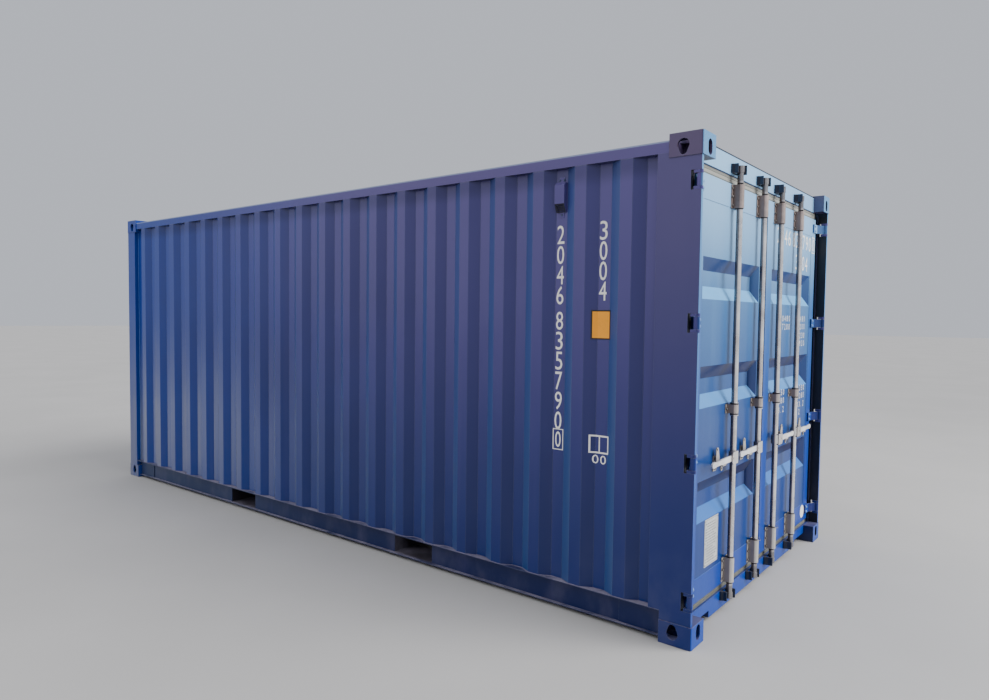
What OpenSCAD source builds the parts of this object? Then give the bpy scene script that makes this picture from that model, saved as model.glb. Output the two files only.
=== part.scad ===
// Twenty foot dry freight container, closed steel box with a pair of cargo doors.
// Millimetres. Z is up and zero at the underside of the bottom corner fittings.
// X runs along the length, doors at +X. Left and right are as seen by someone facing the doors,
// so the left side is at -Y.

/* [Envelope] */
// Length over the corner fittings
overall_l = 6058; // [5200:1:7000]
// Width over the corner fittings
overall_w = 2438; // [2300:1:2600]
// Height over the corner fittings
overall_h = 2591; // [2300:1:2900]

/* [Corner fittings] */
// Length of a fitting along the container
fit_l = 178; // [170:1:190]
// Width of a fitting across the container
fit_w = 162; // [155:1:175]
// Height of a fitting
fit_h = 118; // [116:1:125]
// Thickness of the upright walls of a fitting
fit_wall = 14; // [8:1:18]
// Thickness of the slotted plate of a fitting
fit_plate = 28; // [22:1:30]
// Thickness of the plate opposite the slot
fit_back = 8; // [5:1:10]
// Radius of the upright outer edge of a fitting
fit_edge_r = 12; // [6:1:20]
// Length of a twist-lock slot
slot_l = 124.5; // [110:0.5:130]
// Width of a twist-lock slot
slot_w = 63.5; // [50:0.5:70]
// Distance from the end face to the centre of a slot
slot_in_l = 102.5; // [95:0.5:105]
// Distance from the side face to the centre of a slot
slot_in_w = 89.5; // [80:0.5:95]
// Height of the holes in the end and side faces
face_hole_h = 79.5; // [70:0.5:82]
// Width of the hole in the end face
end_hole_w = 51; // [45:0.5:63]
// Width of the side hole near the slotted plate
side_hole_w = 62; // [52:0.5:66]
// Width of the side hole at its far end
side_hole_low_w = 40; // [30:0.5:50]
// Distance from the slotted face to the middle of the face holes
face_hole_in = 70; // [68:0.5:71]

/* [Posts] */
// Distance from the envelope to the outer skin of the posts
post_in = 5; // [2:0.5:8]
// Plate thickness of the pressed posts
post_t = 6; // [4:0.5:8]
// Width of the side plate of a rear post
rear_post_w = 234; // [205:1:260]
// Width of the front fold of a rear post
fold_w = 21; // [18:1:26]
// Depth of the inner channel of a rear post
chan_d = 38; // [34:1:60]
// Length of the inner channel of a rear post
chan_l = 113; // [90:1:130]
// Thickness of the inner channel of a rear post
chan_t = 12; // [6:1:14]
// Length of a front post along the side
front_post_l = 140; // [110:1:165]

/* [Rails] */
// Width and height of the square top rails
top_rail = 60; // [50:1:65]
// Wall thickness of the top rails
top_rail_t = 3; // [2:0.5:5]
// Distance from the top of the fittings down to the top rails
top_rail_drop = 31; // [28:1:40]
// Height of the base rails above the underside of the fittings
base_lift = 20; // [12:1:30]
// Height of the bottom rails
bottom_rail_h = 146; // [135:1:165]
// Plate thickness of the bottom rails
bottom_rail_t = 4.5; // [3:0.5:6]
// Width of the upper flange of a bottom side rail
upper_flange = 48; // [44:1:60]
// Width of the lower flange of a bottom side rail
lower_flange = 30; // [20:1:40]
// Distance from the envelope to the edge of the upper flange
flange_in = 3; // [1:0.5:5]
// Gap of the butt joints between plates of the base
joint_gap = 0.1; // [0.05:0.05:0.3]
// Width of the front bottom rail
front_sill_w = 60; // [50:1:80]
// Width of the ledge that carries the front end of the floor
ledge_w = 40; // [20:1:60]

/* [Side walls] */
// Distance from the envelope to the outer flats of the walls
wall_in = 6; // [5:0.5:10]
// Sheet thickness of the side walls
side_t = 1.6; // [1.2:0.1:3]
// Depth of the side wall corrugation
side_depth = 36; // [25:1:40]
// Width of an outer flat of a side wall
side_out = 72; // [50:1:90]
// Width of a slope of a side wall
side_slope = 68; // [40:1:80]
// Width of an inner flat of a side wall
side_flat = 72; // [50:1:90]

/* [Front wall] */
// Sheet thickness of the front wall
front_t = 2; // [1.6:0.1:4]
// Depth of the front wall corrugation
front_depth = 45.6; // [30:0.1:50]
// Width of an outer flat of the front wall
front_out = 110; // [80:1:130]
// Width of a slope of the front wall
front_slope = 18; // [10:1:40]
// Width of an inner flat of the front wall
front_flat = 104; // [80:1:130]

/* [Roof] */
// Sheet thickness of the roof
roof_t = 2; // [1.6:0.1:3]
// Height of the roof corrugation
roof_depth = 20; // [12:1:22]
// Width of a crest or trough of the roof
roof_flat = 91; // [60:1:110]
// Width of a slope of the roof
roof_slope = 13.5; // [8:0.5:30]
// Width of the flat margin between the pressed ribs and the edge of the roof sheet
roof_margin = 140; // [80:1:200]
// Distance from the envelope to the edge of the roof sheet
roof_in = 10; // [8:1:30]
// Thickness of the plates between the top fittings
end_plate_t = 3; // [2:0.5:5]

/* [Base and floor] */
// Height of a cross member
cross_h = 122; // [110:1:130]
// Flange width of a cross member
cross_w = 45; // [35:1:60]
// Plate thickness of a cross member
cross_t = 4; // [3:0.5:6]
// Distance between cross members
cross_pitch = 290; // [250:1:340]
// Thickness of the floor boards
floor_t = 28; // [20:1:32]
// Width of the centre rail in the floor
centre_rail_w = 75; // [50:1:100]
// Number of boards along each half of the floor
floor_rows = 5; // [3:1:8]
// Gap between neighbouring floor boards
board_gap = 1.5; // [1:0.5:3]
// Clear width of a fork pocket
fork_w = 355; // [305:1:370]
// Clear height of a fork pocket
fork_h = 115; // [100:1:116]
// Distance between the fork pockets
fork_pitch = 2050; // [1800:1:2100]
// Plate thickness of the fork pockets
fork_t = 4; // [3:0.5:6]
// Length of the plates that close a fork pocket from below
fork_plate_l = 200; // [150:1:300]
// Length of the gussets at the ends of the bottom rails
gusset_l = 250; // [150:1:350]
// Thickness of the gussets
gusset_t = 6; // [4:0.5:8]

/* [Door frame] */
// Distance from the envelope end to the face of the closed doors
door_in = 71; // [66:1:90]
// Depth of the door header and the sill
header_d = 75; // [60:1:90]
// Height of the face of the door header
header_h = 113; // [100:1:114]
// Plate thickness of the header and sill
header_t = 4; // [3:0.5:6]
// Gap between the underside of the header and the underside of the top fittings
header_low = 3; // [2:0.5:8]
// Height of the step between the sill and the floor
sill_step_h = 48; // [40:1:50]
// Depth of the step between the sill and the floor
sill_step_d = 55; // [45:1:60]
// Length of the cut-out in the sill beside a bottom fitting
sill_cut_l = 248; // [150:1:300]
// Height of the cut-out in the sill
sill_cut_h = 40; // [25:1:60]

/* [Door leaves] */
// Thickness of a door leaf
leaf_t = 50; // [40:1:55]
// Width of the seal between a leaf and the door frame
seal_w = 49; // [40:1:55]
// Width of the upright members of a leaf
stile_w = 100; // [80:1:120]
// Height of the horizontal members of a leaf
leaf_rail_h = 130; // [100:1:150]
// Wall thickness of the leaf frame
leaf_frame_t = 3.2; // [2:0.1:5]
// Half of the gap between the steel edges of the two leaves
leaf_gap = 9; // [7:0.5:12]
// Sheet thickness of the door panel
panel_t = 2; // [1.5:0.1:3]
// Distance from the face of the leaf to the door panel
panel_in = 2; // [1:0.5:4]
// Depth of the grooves pressed into the door panel
groove_depth = 34; // [20:1:38]
// Width of the bottom of a groove
groove_w = 84; // [60:1:120]
// Width of a slope of a groove
groove_slope = 69; // [40:1:80]
// Distance from the stiles to the ends of a groove
groove_end = 14; // [8:1:40]
// Height of the middle of the lowest groove
groove_low_z = 695; // [660:1:720]
// Height of the middle of the middle groove
groove_mid_z = 1308; // [1250:1:1350]
// Height of the middle of the highest groove
groove_high_z = 1885; // [1850:1:1930]
// Thickness of the door seal
seal_t = 36; // [30:1:44]
// Distance from the face of the leaf to the seal
seal_in = 12; // [6:1:16]
// Gap between the seal and what it seats on
seal_gap = 0.3; // [0.2:0.1:0.6]
// Distance from the seals to the middle between the leaves
seal_mid = 2.5; // [2:0.1:5]
// Height by which the leaves reach down in front of the lower seal
leaf_drop = 8; // [0:1:12]

/* [Hinges] */
// Distance from the envelope end to a hinge pin
hinge_in_x = 20; // [18:0.5:24]
// Distance from the envelope side to a hinge pin
hinge_in_y = 20; // [18:0.5:24]
// Radius of a hinge pin
hinge_pin_r = 7; // [5:0.5:9]
// Clearance round a hinge pin
hinge_fit = 0.4; // [0.3:0.1:0.8]
// Outer radius of a hinge eye
hinge_eye_r = 16; // [13:0.5:17]
// Height of a hinge blade
blade_h = 62; // [50:1:70]
// Length of the foot of a hinge blade on the leaf
blade_foot = 72; // [50:1:90]
// Thickness of a hinge blade
blade_t = 12; // [8:1:14]
// Height of the notch in the post at a hinge
notch_h = 96; // [90:1:110]
// Clearance between a hinge eye and its lugs
lug_fit = 1; // [0.5:0.1:2]
// Number of hinges on a leaf
hinge_count = 4; // [3:1:5]
// Distance from the bottom of a leaf to its lowest hinge
hinge_rise = 79; // [70:1:140]
// Distance from the top of a leaf to its highest hinge
hinge_drop = 69; // [65:1:140]

/* [Locking gear] */
// Outer radius of a locking bar
bar_r = 17; // [14:0.5:19]
// Wall thickness of a locking bar
bar_t = 3.2; // [2:0.1:6]
// Distance from the face of the leaf to the middle of a locking bar
bar_out = 35; // [32:0.5:38]
// Distance from the middle of the container to an inner bar
inner_bar_y = 172; // [150:1:200]
// Distance from the middle of the container to an outer bar
outer_bar_y = 596; // [570:1:640]
// Clearance between a bar and its brackets
bar_fit = 2; // [1:0.5:3]
// Sheet thickness of a bar bracket
bracket_t = 4; // [3:0.5:6]
// Width of a flange of a bar bracket
bracket_flange = 22; // [16:1:30]
// Height of the top bracket
top_bracket_h = 130; // [100:1:150]
// Height of the bottom bracket
low_bracket_h = 140; // [100:1:150]
// Height of the middle bracket
mid_bracket_h = 50; // [30:1:70]
// Height of the middle of the middle bracket
mid_bracket_z = 1164; // [1050:1:1250]
// Distance from the top of a leaf to the top bracket
top_bracket_drop = 3; // [0:1:20]
// Distance from the bottom of a leaf to the bottom bracket
low_bracket_rise = 10; // [0:1:30]
// Radius of a thrust collar
collar_r = 23; // [20:0.5:24]
// Height of a thrust collar
collar_h = 12; // [8:1:20]
// Play between the upper collar of a bar and the bracket that carries it
collar_fit = 0.05; // [0.02:0.01:0.3]
// Gap between the lower collar of a bar and its bracket
collar_gap = 1; // [0.5:0.1:2]
// Height of a cam
cam_h = 36; // [30:1:44]
// Radius of a cam hub
cam_hub_r = 20; // [18:0.5:22]
// Reach of a cam nose from the middle of its bar
cam_reach = 28; // [24:0.5:29]
// Thickness of a cam nose
cam_nose_t = 13; // [8:1:16]
// Distance between the middle of an upper cam and the edge of the doorway
cam_out = 35; // [28:1:40]
// Gap between a cam nose and the pillars of its keeper
keeper_gap = 6; // [5:0.5:10]
// Width of a keeper pillar
keeper_t = 12; // [8:1:16]
// Height of a keeper
keeper_h = 52; // [44:1:60]
// Distance that a keeper stands out from the header or the sill
keeper_out = 56; // [48:1:62]
// Share of that distance for the shorter claw of a keeper
claw_share = 0.7; // [0.5:0.05:1]
// Width of the foot beyond a claw
claw_root = 8; // [4:1:12]
// Height of the two straps that join the claws
keeper_foot = 6; // [4:1:10]

/* [Handles] */
// Height of the handles
handle_z = 893; // [860:1:930]
// Length of a handle from the middle of its bar
handle_l = 350; // [340:1:400]
// Width of a handle bar
handle_w = 32; // [24:1:36]
// Thickness of a handle bar
handle_t = 9; // [6:0.5:12]
// Radius of the hub on a bar
hub_r = 24; // [21:0.5:25]
// Height of the hub on a bar
hub_h = 56; // [40:1:70]
// Distance from the middle of the bar to the handle pivot
pivot_out = 58; // [50:1:66]
// Radius of the handle pivot pin
pivot_r = 6; // [4:0.5:8]
// Clearance round the handle pivot pin
pivot_fit = 0.4; // [0.3:0.1:0.8]
// Distance from the bar to the middle of the handle retainer
retainer_out = 186; // [160:1:230]
// Width of a handle retainer
retainer_w = 46; // [36:1:60]
// Height of the ear of a handle retainer above the handle
ear_h = 58; // [40:1:70]
// Height of the foot of a handle retainer
retainer_foot_h = 84; // [60:1:100]
// Gap between a handle and the shelf of its retainer
shelf_fit = 0.3; // [0.2:0.1:0.5]
// Distance from the back of a handle to the back of the ear behind it
ear_back = 32; // [24:1:36]
// Distance from the shelf of a retainer down to the middle of its eye
eye_drop = 15; // [12:1:20]
// Plate thickness of a handle retainer
retainer_t = 6; // [4:0.5:8]
// Width of the ear and of the eye of a handle retainer
ear_w = 24; // [18:1:30]
// Radius of the holes in the ear and the eye
ear_hole_r = 7; // [5:0.5:8]
// Height of the front cheek that holds a handle
cheek_h = 70; // [50:1:80]
// Thickness of the front cheek
cheek_t = 6; // [4:0.5:8]
// Length of the thinner middle of a handle
waist_l = 90; // [60:1:150]
// Width of the thinner middle of a handle
waist_w = 24; // [18:1:28]

/* [Ventilators] */
// Height of a ventilator
vent_h = 165; // [150:1:240]
// Width of a ventilator
vent_w = 64; // [50:1:70]
// Distance that a ventilator stands out from the wall
vent_out = 32; // [20:1:34]
// Number of louvres of a ventilator
vent_slots = 4; // [2:1:6]
// Wall thickness of a ventilator
vent_t = 2.5; // [2:0.5:4]
// Distance from the top rail down to the middle of a ventilator
vent_drop = 158; // [130:1:250]
// Height of the lug above and below a ventilator
vent_lug = 30; // [15:1:30]
// Height of the sloped louvres at the foot of a ventilator
vent_slope_h = 46; // [40:1:80]
// Number of wall recesses between a ventilator and the rear post
vent_recess = 2; // [1:1:4]

/* [Hidden] */

$fn = 32;
eps = 1;

paint = [0.13, 0.26, 0.52];
door_paint = [0.33, 0.50, 0.78];
zinc = [0.66, 0.66, 0.64];
dark_paint = [0.06, 0.09, 0.16];
rubber = [0.42, 0.42, 0.38];
plywood = [0.50, 0.33, 0.22];

half_l = overall_l / 2;
half_w = overall_w / 2;

// Planes along the length
door_x = half_l - door_in;
post_front_x = half_l - 6;
rear_post_x = post_front_x - rear_post_w;
front_skin_x = -half_l + wall_in;
front_post_x = front_skin_x + front_post_l;
front_post_w = fit_w - post_in;
fit_x = half_l - fit_l;
chan_x = door_x - chan_l;
leaf_back_x = door_x - leaf_t;

// Planes across the width, given for the left side as distances from the middle
fit_y = half_w - fit_w;
post_y = half_w - post_in;
doorway_y = post_y - post_t - chan_d;
wall_y = half_w - wall_in;
web_y = half_w - flange_in - upper_flange;

// Levels
fit_low_z = overall_h - fit_h;
rail_top_z = overall_h - top_rail_drop;
rail_low_z = rail_top_z - top_rail;
base_top_z = base_lift + bottom_rail_h;
cross_z = base_lift + 2;
floor_z = cross_z + cross_h;
doorway_top_z = fit_low_z - header_low;
doorway_low_z = fit_h + 2;

// Side wall pattern
side_l = rear_post_x - front_post_x;
side_pitch = side_out + 2 * side_slope + side_flat;
side_count = floor((side_l - side_flat) / side_pitch);
side_end = (side_l - side_count * side_pitch + side_flat) / 2;

// Front wall pattern
front_y = post_y - front_post_w;
front_pitch = front_out + 2 * front_slope + front_flat;
front_count = floor((2 * front_y - front_flat) / front_pitch);
front_end = (2 * front_y - front_count * front_pitch + front_flat) / 2;

// Roof pattern
roof_x = fit_x;
roof_pitch = 2 * roof_flat + 2 * roof_slope;
roof_count = floor((2 * roof_x - roof_flat) / roof_pitch);
roof_end = (2 * roof_x - roof_count * roof_pitch + roof_flat) / 2;

// Door leaf, left one: outer edge at -leaf_out_y, inner edge at -leaf_gap
leaf_out_y = doorway_y - seal_w;
leaf_top_z = doorway_top_z - seal_w;
leaf_low_z = doorway_low_z + seal_w - leaf_drop;
leaf_w = leaf_out_y - leaf_gap;
leaf_h = leaf_top_z - leaf_low_z;
groove_z = [groove_low_z, groove_mid_z, groove_high_z];

// Hinges
hinge_x = half_l - hinge_in_x;
hinge_y = half_w - hinge_in_y;
hinge_low_z = leaf_low_z + hinge_rise;
hinge_pitch = (leaf_top_z - hinge_drop - hinge_low_z) / (hinge_count - 1);

// Locking gear
bar_x = door_x + bar_out;
bracket_r = bar_r + bar_fit + bracket_t;
top_cam_z = doorway_top_z + cam_out;
low_cam_z = doorway_low_z - keeper_h / 2;
top_bracket_z = leaf_top_z - top_bracket_drop - top_bracket_h;
low_bracket_z = leaf_low_z + low_bracket_rise;
tongue_x = 3;
tongue_t = 7;
handle_x = tongue_x + tongue_t + 1;
cheek_x = handle_x + handle_t + 1;
cheek_root = 10;
pivot_head = 2;
keeper_y = cam_reach + keeper_gap;

// Children once on each side of the container
module both_sides() {
    children();
    mirror([0, 1, 0]) children();
}

// Children at each end and side, modelled for +X, +Y
module four_corners() {
    for (mx = [0, 1], my = [0, 1])
        mirror([mx, 0, 0]) mirror([0, my, 0]) children();
}

// Points of a trapezoid wave that starts and ends on a low flat
function wave(start, end_flat, count, pitch, slope, flat, low, high) = concat(
    [[start, low]],
    [for (i = [0 : count - 1], p = [[0, low], [slope, high], [slope + flat, high], [2 * slope + flat, low]])
        [start + end_flat + i * pitch + p[0], p[1]]],
    [[start + 2 * end_flat + (count - 1) * pitch + 2 * slope + flat, low]]
);

// Points in the opposite order, moved sideways by the sheet thickness
function back_path(path, t) = [for (i = [len(path) - 1 : -1 : 0]) [path[i][0], path[i][1] + t]];

// Square tube along X, its lowest corner at the origin
module tube_x(l, w, h, t) {
    difference() {
        cube([l, w, h]);
        translate([-eps, t, t]) cube([l + 2 * eps, w - 2 * t, h - 2 * t]);
    }
}

// Square tube along Y, its lowest corner at the origin
module tube_y(l, w, h, t) {
    difference() {
        cube([w, l, h]);
        translate([t, -eps, t]) cube([w - 2 * t, l + 2 * eps, h - 2 * t]);
    }
}

// Shape pressed towards -X into a sheet on x = 0: half lengths of its flat crest along Y and Z, grown by g
module pressed_form(half_y, half_z, depth, slope, g) {
    d = depth + g;
    grow = slope * d / depth;
    y = half_y + g;
    z = half_z + g;
    intersection() {
        rotate([90, 0, 0]) linear_extrude(2 * (y + grow), center = true)
            polygon([[-d, -z], [0, -z - grow], [0, z + grow], [-d, z]]);
        linear_extrude(2 * (z + grow), center = true) polygon([[-d, -y], [0, -y - grow], [0, y + grow], [-d, y]]);
    }
}

// Upright slot with round ends, cut along Z
module slot_cut(l, w, depth) {
    for (s = [-1, 1]) translate([s * (l - w) / 2, 0, 0]) cylinder(d = w, h = depth, center = true);
    cube([l - w, w, depth], center = true);
}

// Shield shaped hole, wide towards +Y, cut along Z
module shield_cut(h, wide, narrow, depth) {
    r1 = wide / 2;
    r2 = narrow / 2;
    y1 = h / 2 - r1;
    y2 = -h / 2 + r2;
    a = asin((r1 - r2) / (y1 - y2));
    translate([0, y1, 0]) cylinder(r = r1, h = depth, center = true);
    translate([0, y2, 0]) cylinder(r = r2, h = depth, center = true);
    linear_extrude(depth, center = true) polygon([
        [r1 * cos(a), y1 - r1 * sin(a)], [r2 * cos(a), y2 - r2 * sin(a)],
        [-r2 * cos(a), y2 - r2 * sin(a)], [-r1 * cos(a), y1 - r1 * sin(a)]
    ]);
}

// Hollow casting with its outer top corner at the origin, body towards -X, -Y and -Z
module corner_fitting() {
    depth = 3 * fit_wall;
    difference() {
        translate([-fit_l, -fit_w, -fit_h]) cube([fit_l, fit_w, fit_h]);
        translate([-fit_l + fit_wall, -fit_w + fit_wall, -fit_h + fit_back])
            cube([fit_l - 2 * fit_wall, fit_w - 2 * fit_wall, fit_h - fit_back - fit_plate]);
        translate([-slot_in_l, -slot_in_w, 0]) slot_cut(slot_l, slot_w, 2 * fit_plate + 2 * eps);
        translate([0, -slot_in_w, -face_hole_in]) rotate([0, 90, 0]) slot_cut(face_hole_h, end_hole_w, depth);
        translate([-slot_in_l, 0, -face_hole_in]) rotate([90, 0, 0])
            shield_cut(face_hole_h, side_hole_w, side_hole_low_w, depth);
        difference() {
            translate([-fit_edge_r, -fit_edge_r, -fit_h - eps]) cube([2 * fit_edge_r, 2 * fit_edge_r, fit_h + 2 * eps]);
            translate([-fit_edge_r, -fit_edge_r, -fit_h - 2 * eps]) cylinder(r = fit_edge_r, h = fit_h + 4 * eps);
        }
    }
}

module top_corner_fittings() {
    color(paint) four_corners() translate([half_l, half_w, overall_h]) corner_fitting();
}

module bottom_corner_fittings() {
    color(paint) four_corners() translate([half_l, half_w, 0]) mirror([0, 0, 1]) corner_fitting();
}

// Plan of the left front post
module front_post_plan() {
    step = wall_in - post_in + side_depth + side_t;
    front_step = front_depth + front_t;
    translate([front_skin_x, -post_y]) {
        square([front_post_l, post_t]);
        square([post_t, front_post_w]);
        translate([front_post_l - post_t, 0]) square([post_t, step]);
        translate([0, front_post_w - post_t]) square([front_step, post_t]);
    }
}

module front_corner_posts() {
    color(paint) both_sides()
        translate([0, 0, fit_h]) linear_extrude(fit_low_z - fit_h) front_post_plan();
}

// Plan of the left rear post: pressed outer plate with a folded front edge, and a rolled channel
module rear_post_plan() {
    step = wall_in - post_in + side_depth + side_t;
    translate([rear_post_x, -post_y]) {
        square([rear_post_w, post_t]);
        square([post_t, step]);
    }
    translate([post_front_x - post_t, -post_y]) square([post_t, fold_w]);
    translate([door_x - eps, -post_y + fold_w - post_t]) square([post_front_x - door_x + eps, post_t]);
    translate([chan_x, -post_y + post_t]) difference() {
        translate([0, -eps]) square([chan_l, chan_d + eps]);
        translate([chan_t, -2 * eps]) square([chan_l - 2 * chan_t, chan_d - chan_t + 2 * eps]);
    }
}

module rear_corner_posts() {
    notch_x = door_x + 10;
    color(paint) both_sides() difference() {
        translate([0, 0, fit_h]) linear_extrude(rail_low_z - fit_h) rear_post_plan();
        translate([fit_x, -half_w - eps, fit_low_z]) cube([fit_l + eps, fit_w, fit_h]);
        translate([rear_post_x - eps, -half_w - eps, 0]) cube([fit_x - rear_post_x + eps, fit_w, base_top_z]);
        for (i = [0 : hinge_count - 1])
            translate([notch_x, -half_w - eps, hinge_low_z + i * hinge_pitch - notch_h / 2])
                cube([fit_l, fold_w + post_in + 3, notch_h]);
    }
}

module top_side_rails() {
    color(paint) both_sides()
        translate([-fit_x, -wall_y, rail_low_z]) tube_x(2 * fit_x, top_rail, top_rail, top_rail_t);
}

// Section of a bottom side rail, drawn in Y and Z for the left side
module bottom_rail_section() {
    t = bottom_rail_t;
    translate([-web_y - t, base_lift]) square([t, bottom_rail_h]);
    translate([-web_y - upper_flange, base_top_z - t]) square([upper_flange, t]);
    translate([-web_y - lower_flange, base_lift]) square([lower_flange, t]);
}

// Rails jointed from lengths of channel at both edges of each fork pocket
module bottom_side_rails() {
    color(paint) both_sides() difference() {
        translate([front_post_x, 0, 0]) rotate([90, 0, 90]) linear_extrude(fit_x - front_post_x) bottom_rail_section();
        translate([-half_l, -half_w, 0]) cube([fit_l, fit_w, fit_h]);
        for (s = [-1, 1]) {
            translate([s * fork_pitch / 2 - fork_w / 2, -web_y - 2 * bottom_rail_t, base_lift + bottom_rail_t])
                cube([fork_w, 3 * bottom_rail_t, fork_h]);
            for (e = [-1, 1])
                translate([s * fork_pitch / 2 + e * fork_w / 2 - joint_gap / 2, -half_w, 0])
                    cube([joint_gap, fit_w, fit_low_z]);
        }
    }
}

module rail_end_gussets() {
    h = bottom_rail_h - 2 * bottom_rail_t;
    y = -web_y - bottom_rail_t - gusset_t;
    color(paint) both_sides() for (x = [-fit_x, fit_x - gusset_l])
        translate([x, y, base_lift + bottom_rail_t]) cube([gusset_l, gusset_t, h]);
}

// Plan of a side wall on the left
module side_wall_plan() {
    path = wave(front_post_x, side_end, side_count, side_pitch, side_slope, side_out, -wall_y + side_depth, -wall_y);
    polygon(concat(path, back_path(path, side_t)));
}

module left_side_wall() {
    color(paint) difference() {
        translate([0, 0, base_top_z]) linear_extrude(rail_low_z - base_top_z) side_wall_plan();
        translate([-half_l, -half_w, fit_low_z]) cube([fit_l, fit_w, fit_h]);
    }
}

module right_side_wall() {
    mirror([0, 1, 0]) left_side_wall();
}

// Plan of the front wall, drawn with its length along X
module front_wall_plan() {
    path = wave(-front_y, front_end, front_count, front_pitch, front_slope, front_out, front_depth, 0);
    polygon(concat(path, back_path(path, front_t)));
}

module front_wall() {
    color(paint) translate([front_skin_x, 0, base_top_z])
        linear_extrude(rail_low_z - base_top_z) mirror([1, 0]) rotate(90) front_wall_plan();
}

module front_top_rail() {
    color(paint) translate([front_skin_x, -fit_y, rail_low_z]) tube_y(2 * fit_y, top_rail, top_rail, top_rail_t);
}

module front_bottom_rail() {
    color(paint) translate([front_skin_x, -fit_y, base_lift])
        tube_y(2 * fit_y, front_sill_w, bottom_rail_h, bottom_rail_t);
    color(paint) translate([front_skin_x + front_sill_w - eps, -fit_y, floor_z - cross_t])
        cube([ledge_w + eps, 2 * fit_y, cross_t]);
}

module door_header() {
    color(door_paint) translate([door_x - header_d, -fit_y, doorway_top_z])
        tube_y(2 * fit_y, header_d, header_h, header_t);
}

// Section of the sill step, drawn in X and Z: a plate over the fittings and an upstand to the floor
module sill_step_section() {
    t = header_t;
    translate([fit_x, fit_h]) square([door_x - fit_x, doorway_low_z - fit_h]);
    translate([fit_x + sill_step_d - t, fit_h]) square([t, sill_step_h]);
    translate([fit_x, fit_h + sill_step_h - t]) square([sill_step_d, t]);
}

// Cut-out at the left end of the sill
module sill_cut() {
    translate([door_x - header_d - eps, -fit_y - eps, base_lift - eps])
        cube([header_d + 2 * eps, sill_cut_l + eps, sill_cut_h + eps]);
}

module door_sill() {
    color(door_paint) {
        difference() {
            translate([door_x - header_d, -fit_y, base_lift])
                tube_y(2 * fit_y, header_d, doorway_low_z - base_lift, header_t);
            both_sides() sill_cut();
        }
        both_sides() difference() {
            translate([door_x - header_d, -fit_y, base_lift])
                cube([header_d, sill_cut_l + header_t, sill_cut_h + header_t]);
            sill_cut();
        }
        translate([0, doorway_y, 0]) rotate([90, 0, 0]) linear_extrude(2 * doorway_y) sill_step_section();
    }
}

// Ribs of the roof, grown by g
module roof_ribs(g) {
    half_y = half_w - roof_in - roof_margin - roof_slope;
    for (i = [0 : roof_count - 1])
        translate([-roof_x + roof_end + i * roof_pitch + roof_slope + roof_flat / 2, 0, rail_top_z])
            rotate([0, 90, 0]) pressed_form(half_y, roof_flat / 2, roof_depth, roof_slope, g);
}

// Sheet with ribs that are pressed up and end before the edges of the sheet
module roof_panel() {
    y = half_w - roof_in;
    color(paint) difference() {
        union() {
            translate([-roof_x, -y, rail_top_z]) cube([2 * roof_x, 2 * y, roof_t]);
            roof_ribs(roof_t);
        }
        roof_ribs(0);
        translate([-roof_x - eps, -y - eps, rail_top_z - roof_depth]) cube([2 * roof_x + 2 * eps, 2 * y + 2 * eps, roof_depth]);
    }
}

module roof_end_plates() {
    color(paint) {
        translate([front_skin_x, -fit_y, rail_top_z]) cube([-roof_x - front_skin_x, 2 * fit_y, end_plate_t]);
        translate([roof_x, -fit_y, rail_top_z]) cube([door_x - header_d - roof_x, 2 * fit_y, end_plate_t]);
    }
}

module floor_boards() {
    x0 = front_skin_x + front_sill_w + 8;
    y0 = centre_rail_w / 2 + board_gap;
    board_l = (fit_x - x0 - (floor_rows - 1) * board_gap) / floor_rows;
    color(plywood) both_sides() for (i = [0 : floor_rows - 1])
        translate([x0 + i * (board_l + board_gap), y0, floor_z]) cube([board_l, web_y - 5 - y0, floor_t]);
}

module floor_centre_rail() {
    x0 = front_skin_x + front_sill_w + 8;
    color(paint) translate([x0, -centre_rail_w / 2, floor_z]) difference() {
        cube([fit_x - x0, centre_rail_w, floor_t]);
        translate([-eps, cross_t, -eps]) cube([fit_x - x0 + 2 * eps, centre_rail_w - 2 * cross_t, floor_t - cross_t + eps]);
    }
}

// Pressed channel across the base, its web at x = 0 and its flanges towards +X
module cross_member() {
    translate([0, -web_y, cross_z]) {
        cube([cross_t, 2 * web_y, cross_h]);
        cube([cross_w, 2 * web_y, cross_t]);
        translate([0, 0, cross_h - cross_t]) cube([cross_w, 2 * web_y, cross_t]);
    }
}

module cross_members() {
    reach = fork_w / 2 + fork_t + cross_w + 5;
    last = fit_x - cross_w - 40;
    count = floor(2 * last / cross_pitch);
    x0 = -count * cross_pitch / 2 - cross_w / 2;
    color(paint) for (i = [0 : count])
        let (x = x0 + i * cross_pitch)
            if (abs(abs(x + cross_w / 2) - fork_pitch / 2) > reach) translate([x, 0, 0]) cross_member();
}

// One fork pocket across the base, centred on x = 0, open at both sides: plates between two side plates
module fork_pocket() {
    w = fork_w + 2 * fork_t;
    inner_w = fork_w - 2 * joint_gap;
    translate([-w / 2, -web_y, base_lift]) for (x = [0, w - fork_t]) translate([x, 0, 0])
        cube([fork_t, 2 * web_y, floor_z - base_lift]);
    translate([-inner_w / 2, -web_y, base_lift + bottom_rail_t + fork_h]) cube([inner_w, 2 * web_y, fork_t]);
    for (y = [-web_y, web_y - fork_plate_l]) translate([-inner_w / 2, y, base_lift])
        cube([inner_w, fork_plate_l, bottom_rail_t]);
}

module fork_pockets() {
    color(paint) for (s = [-1, 1]) translate([s * fork_pitch / 2, 0, 0]) fork_pocket();
}

// Plan of one keeper claw that starts on x = 0 and leans away from y = 0
module claw_plan(out) {
    polygon([
        [0, 0], [out * 0.55, 0], [out * 0.8, keeper_t * 0.2], [out, keeper_t * 0.55],
        [out * 0.94, keeper_t], [out * 0.5, keeper_t], [claw_root, keeper_t + claw_root], [0, keeper_t + claw_root]
    ]);
}

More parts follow.
